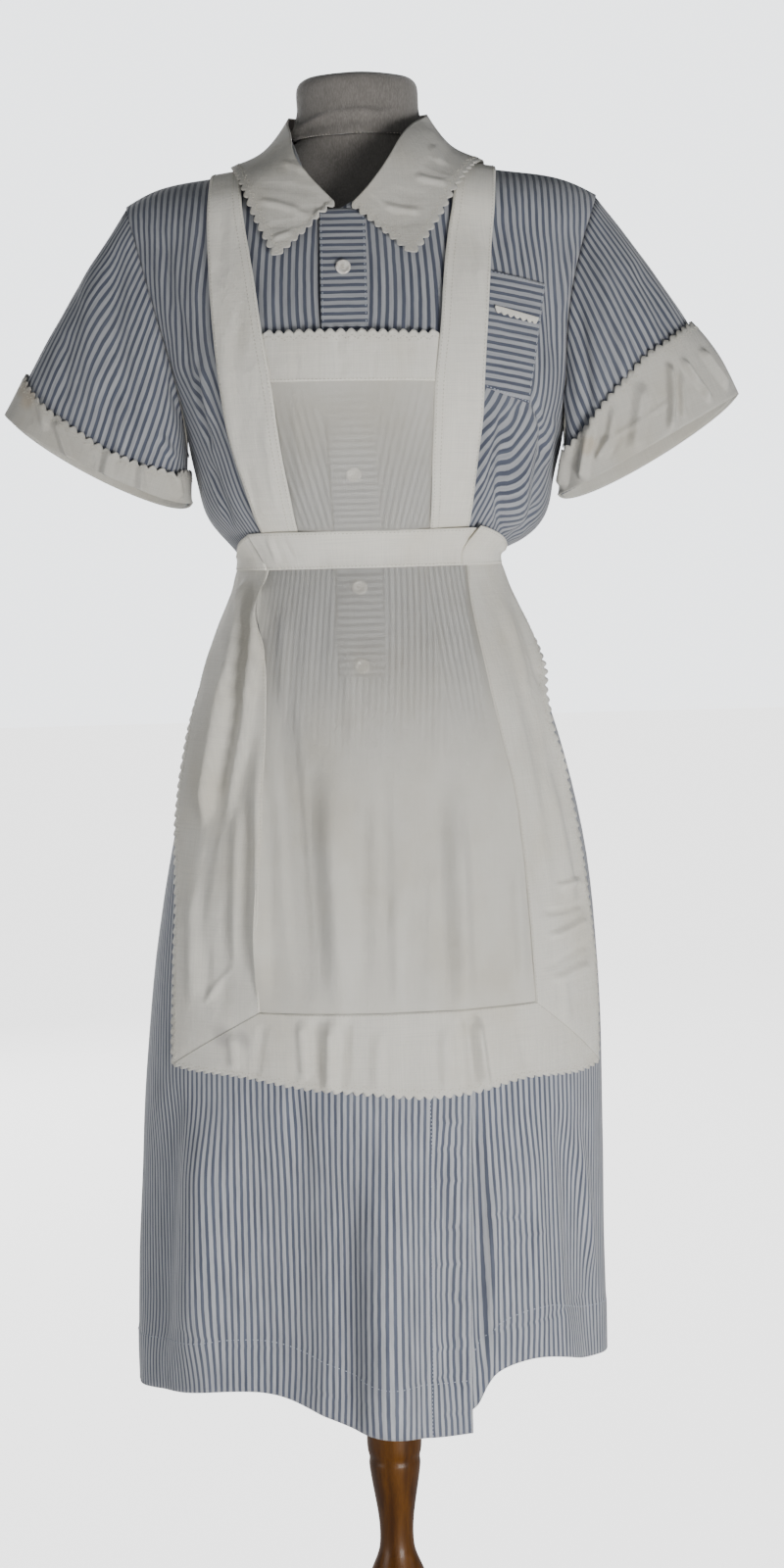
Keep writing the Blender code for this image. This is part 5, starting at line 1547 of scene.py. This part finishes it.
BIB_FOLDS = {
    "bib_band": front(
        (-22, 1287, -18, 1247, 4, -1.4, 0, 0.25), (-15, 1285, -9, 1247, 4, 1),
        (11, 1278, 7, 1243, 4, -0.9), (-58, 1279, -56, 1247, 5, -0.8), (41, 1277, 43, 1244, 5, 1),
    ),
    "bib_panel": front(
        (-35, 1222, -41, 1135, 9, -1.5), (22, 1237, 24, 1129, 9, 1.5),
        (-60, 1231, -53, 1140, 7, 1), (46, 1220, 42, 1131, 7, -1.2), (-7, 1238, -7, 1180, 9, 1),
    ),
    "strap_left": front(
        (-122, 1324, -109, 1125, 9, 2), (-102, 1183, -95, 1124, 6, -1.6),
        (-102, 1323, -109, 1257, 7, -1.6), (-87, 1224, -75, 1132, 7, 1.5),
        (-116, 1414, -122, 1324, 8, -1.6), (-109, 1274, -96, 1257, 6, -1.2),
    ),
    "strap_right": front(
        (75, 1219, 67, 1128, 7, -1.6), (93, 1202, 79, 1124, 8, 2), (106, 1399, 96, 1293, 8, 1.5),
        (82, 1400, 76, 1294, 8, -1.4),
    ),
    "waistband": front(
        (-105, 1121, -92, 1096, 4, -2.6, 0, 0.2), (-88, 1120, -79, 1095, 4, 2, 0, 0.25),
        (-75, 1117, -64, 1095, 3, -2.2, 0, 0.2), (85, 1120, 98, 1090, 4, -2.4, 0, 0.2),
        (93, 1115, 106, 1090, 3, 1.5, 0, 0.25),
    ),
}
for number, (name, row) in enumerate(BIB_PARTS.items()):
    corners, cells, tucks, reach, flat, under, held = row
    strap = name.startswith("strap")
    net = lay_net(name, corners, cells, trim=strap)
    uv = grain_map(net, over_shoulder(net, 1) if strap else UP)
    folds, noises = BIB_FOLDS.get(name, ()), eased_noise(0.4 * MM, 0.4 * MM, number + 71)
    net = creased(net, folds, noises, edge_hold=0.05, deepest=1.0 * MM)
    net = tucked(net, tucks, reach * MM)
    if name == "bib_band":
        net = scalloped(net, "top")
    look, slot, thick = apron_look(name, CREAM_CLOTH)
    cloth(name, net, uv, look, thick=thick)

# %% [markdown]
# ## The form and its stand
#
# The form's body and neck are rounded copies of their nodes under the jersey. The pole and the
# base were turned on a lathe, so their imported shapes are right, and only need a smooth finish.

# %% Form
SHARP = math.radians(50)


def skin(name, look, levels, tight, shape=None):
    """A smooth copy of a closed node, which takes its place. Sharp edges stay tight."""
    bm = bmesh.new()
    bm.from_mesh(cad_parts[name].data)
    bmesh.ops.remove_doubles(bm, verts=bm.verts, dist=MERGE)
    bmesh.ops.join_triangles(
        bm, faces=bm.faces, angle_face_threshold=math.radians(40), angle_shape_threshold=math.pi
    )
    crease = bm.edges.layers.float.new("crease_edge")
    for edge in bm.edges:
        if edge.is_manifold and edge.calc_face_angle(0) > SHARP:
            edge[crease] = tight
    smooth = subdivided(bm, levels)
    if shape:
        smooth.normal_update()
        points = np.array([[v.co for v in smooth.verts]])
        normals = np.array([[v.normal for v in smooth.verts]])
        for vert, place in zip(smooth.verts, shape(points, normals)[0]):
            vert.co = place
    thing = finished(name + "_skin", smooth, look)
    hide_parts(name)


NECK_FLARE = 5.5 * MM
FLARE_TOP, FLARE_HEIGHT, NECK_HALF = 1.492, 0.026, 0.055
NECK_DENTS, NECK_DENT_SIZE = 0.7 * MM, 0.022
BODY_DENTS, BODY_DENT_SIZE = 0.8 * MM, 0.06
NECK_WRINKLES = front(
    (-66, 1466.5, -20, 1482, 4, 3.2), (-30, 1480, 36, 1479, 4, 2.8, 2),
    (-40, 1471.5, 30, 1473.5, 3, -1.2),
)


def neck_shape(points, normals):
    """The jersey flares to the shoulders at the sides, and wrinkles above its seam."""
    move = np.zeros(points.shape[:2])
    for row in NECK_WRINKLES:
        move += fold(points, normals, *row)
    move += NECK_DENTS * rumple(points, NECK_DENT_SIZE, 3)
    low = below(points, FLARE_TOP, FLARE_HEIGHT)
    aside = np.clip(np.abs(points[..., 0]) / NECK_HALF, 0, 1) ** 4
    flare = NECK_FLARE * low * aside * np.sign(points[..., 0])
    moved = points + normals * move[..., None]
    moved[..., 0] += flare
    return moved


def body_shape(points, normals):
    """Slow dents in the padded body."""
    return points + normals * (BODY_DENTS * rumple(points, BODY_DENT_SIZE, 8))[..., None]


skin("form_body", JERSEY, 2, 0.9, body_shape)
skin("form_neck", JERSEY, 3, 0.55, neck_shape)
skin("form_pole", WOOD, 2, 0.6)
skin("form_base", WOOD, 2, 0.6)
skin("tie_knot", CREAM_CLOTH, 2, 0.0)

# %% [markdown]
# ## Buttons
#
# Five small pearl buttons close the band. A button is turned: one half of its section is spun
# round, with a raised rim and a dished middle, and two threads cross the middle.

# %% Buttons
BUTTON_SECTION = (
    (0.0, 1.3), (2.2, 1.3), (3.6, 1.5), (4.6, 2.3), (5.6, 2.35),
    (6.3, 1.8), (6.5, 1.1), (6.2, 0.2), (0.0, 0.0),
)
BUTTON_STEPS = 36
SUNK = 1.2 * MM
THREAD_ASIDE, THREAD_HEIGHT, THREAD_HALF = 0.9 * MM, 1.4 * MM, 1.6


def button(name):
    """A turned button on its node's place, with its face along the node's front."""
    node_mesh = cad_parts[name].data
    front = Vector()
    for face in node_mesh.polygons:
        if face.normal.y < -0.7:
            front += face.normal * face.area
    front.normalize()
    low, high = (Vector(corner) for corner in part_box(name))
    turn = front.to_track_quat("Z", "Y").to_matrix().to_4x4()
    place = Matrix.Translation((low + high) / 2 - front * SUNK) @ turn
    bm = bmesh.new()
    verts = [bm.verts.new((r * MM, 0.0, h * MM)) for r, h in BUTTON_SECTION]
    edges = [bm.edges.new(pair) for pair in zip(verts, verts[1:])]
    bmesh.ops.spin(
        bm, geom=verts + edges, cent=(0, 0, 0), axis=(0, 0, 1), angle=2 * math.pi,
        steps=BUTTON_STEPS, use_merge=True,
    )
    bmesh.ops.remove_doubles(bm, verts=bm.verts, dist=MERGE)
    bmesh.ops.recalc_face_normals(bm, faces=bm.faces)
    bmesh.ops.transform(bm, matrix=place, verts=bm.verts)
    thing = finished(name + "_pearl", bm, PEARL)
    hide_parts(name)
    lines = []
    for side in (-THREAD_ASIDE, THREAD_ASIDE):
        spots = ((x * MM, side, THREAD_HEIGHT) for x in (-THREAD_HALF, 0.0, THREAD_HALF))
        ends = np.array([place @ Vector(spot) for spot in spots])
        lines.append((ends, np.array([front] * 3), 2 * THREAD_HALF * MM, 0.0))
    sewn(name + "_thread", lines, THREAD_CREAM)


for k in range(1, 6):
    button(f"button_{k}")

# %% [markdown]
# ## Where the thread shows
#
# Each seam names a piece, a side of its net and how many millimetres inside that side it runs.
# The pale thread disappears in the pale cloth from afar, and only its small shadows show, as in
# the photograph.

# %% Seams
SEAMS = {
    "strap_seams": (
        "strap_left left 2, strap_left right 2, strap_left right 7.5, strap_right left 2, "
        "strap_right left 7.5, strap_right right 2"
    ),
    "bib_seams": "bib_band bottom 1.6, bib_band top 6",
    "waist_seams": (
        "waistband top 2, waistband bottom 1.8, tie_left top 2, tie_left bottom 1.8, "
        "tie_right top 2, tie_right bottom 1.8, tail_left left 1.8, tail_left right 1.8, "
        "tail_left bottom 2, tail_right left 1.8, tail_right right 1.8, tail_right bottom 2"
    ),
    "apron_seams": (
        "apron_band_left right 1.6, apron_band_left left 6, apron_band_right left 1.6, "
        "apron_band_right right 6, apron_hem_band top 1.6, apron_hem_band left 1.2, "
        "apron_hem_band right 1.2, apron_hem_band bottom 6"
    ),
    "collar_seams": (
        "collar_left bottom 6, collar_left right 5, collar_right bottom 6, "
        "collar_right left 5"
    ),
    "cuff_seams": "cuff_left top 5, cuff_right top 6",
}
STRIPED_SEAMS = {
    "band_seams": (
        "placket left 1.6, placket right 1.6, placket_lower left 1.6, placket_lower right 1.6"
    ),
    "pocket_seams": (
        "chest_pocket left 1.4, chest_pocket right 1.4, chest_pocket bottom 1.4, "
        "chest_pocket top 1.4"
    ),
    "skirt_seams": (
        "skirt_front_left bottom 46, skirt_front_right bottom 46, skirt_back bottom 46, "
        "skirt_front_left right 2, skirt_front_left right 38"
    ),
}
for table, thread, slot in (
    (SEAMS, THREAD_CREAM, "cream_cotton"),
    (STRIPED_SEAMS, THREAD_BLUE, "striped_cotton"),
):
    for name, seams in table.items():
        rows = (seam.split() for seam in seams.split(", "))
        lines = [line_inside(PIECES[key], side, float(inset) * MM) for key, side, inset in rows]
        sewn(name, lines, thread)

NECK_SEAM = (0.0563, 0.0532, 1.4634)
NECK_STEPS = 120
round_neck = np.linspace(0, 2 * math.pi, NECK_STEPS)
neck_out = np.stack((np.cos(round_neck), np.sin(round_neck), np.zeros(NECK_STEPS)), axis=1)
neck_line = neck_out * (NECK_SEAM[0], NECK_SEAM[1], 0.0) + (0.0, 0.0, NECK_SEAM[2])
sewn("neck_seam", [(neck_line, neck_out)], THREAD_CREAM)

# %% [markdown]
# ## Floor and light
#
# A pale floor, a pale sky and four large soft lamps stand in for the bright room of the
# photograph. The main lamp stands low in front, a little to the right, so that the tones fall
# off towards the shoulders as they do there. Weaker ones fill both sides, and one lights the
# back. The camera sees floor and sky brighter than they shine on the cloth.

# %% Floor and light
FLOOR_SIZE = 30.0


def by_camera(tree, unseen, seen):
    """One strength for the light that a surface gives, and one for how bright it looks."""
    path = tree.nodes.new("ShaderNodeLightPath")
    strength = tree.nodes.new("ShaderNodeMapRange")
    strength.inputs["To Min"].default_value = unseen
    strength.inputs["To Max"].default_value = seen
    tree.links.new(path.outputs["Is Camera Ray"], strength.inputs["Value"])
    return strength.outputs["Result"]


FLOOR_TONE = (0.45, 0.45, 0.45, 1.0)
FLOOR_GLOW, FLOOR_SEEN = 0.18, 2.6
bm = bmesh.new()
bmesh.ops.create_grid(bm, x_segments=1, y_segments=1, size=FLOOR_SIZE / 2)
floor_mesh = bpy.data.meshes.new("floor")
bm.to_mesh(floor_mesh)
bm.free()
floor = bpy.data.objects.new("floor", floor_mesh)
bpy.context.scene.collection.objects.link(floor)
white = (1.0, 1.0, 1.0, 1.0)
pale = Paint("pale floor", Base_Color=FLOOR_TONE, Roughness=0.9, Emission_Color=white)
glow = by_camera(pale.tree, FLOOR_GLOW, FLOOR_SEEN)
pale.tree.links.new(glow, pale.shader.inputs["Emission Strength"])
floor_mesh.materials.append(pale.material)

ROOM_LIGHT, ROOM_SEEN = 0.19, 3.0
world = bpy.data.worlds.new("studio")
world.use_nodes = True
room = world.node_tree.nodes["Background"]
room.inputs["Color"].default_value = (0.94, 0.97, 1.0, 1.0)
room_strength = by_camera(world.node_tree, ROOM_LIGHT, ROOM_SEEN)
world.node_tree.links.new(room_strength, room.inputs["Strength"])
bpy.context.scene.world = world


def lamp(name, place, aim, size, power, tint=(1.0, 1.0, 1.0)):
    """A square area lamp that looks at a point."""
    data = bpy.data.lights.new(name, "AREA")
    data.shape, data.size, data.energy, data.color = "SQUARE", size, power, tint
    thing = bpy.data.objects.new(name, data)
    place = Vector(place)
    thing.location = place
    thing.rotation_mode = "QUATERNION"
    thing.rotation_quaternion = (Vector(aim) - place).to_track_quat("-Z", "Y")
    bpy.context.scene.collection.objects.link(thing)


lamp("main lamp", (1.05, -2.00, 0.32), (0.0, 0.0, 0.82), 0.9, 56.0, (1.0, 0.99, 0.97))
lamp("side lamp", (2.6, -0.6, 0.9), (0.0, 0.0, 0.8), 1.0, 4.0, (0.80, 0.88, 1.0))
lamp("fill lamp", (-2.5, -1.2, 0.6), (0.0, 0.0, 0.8), 1.2, 19.0)
lamp("back lamp", (-1.5, 3.3, 1.7), (0.0, 0.0, 0.9), 1.8, 105.0)
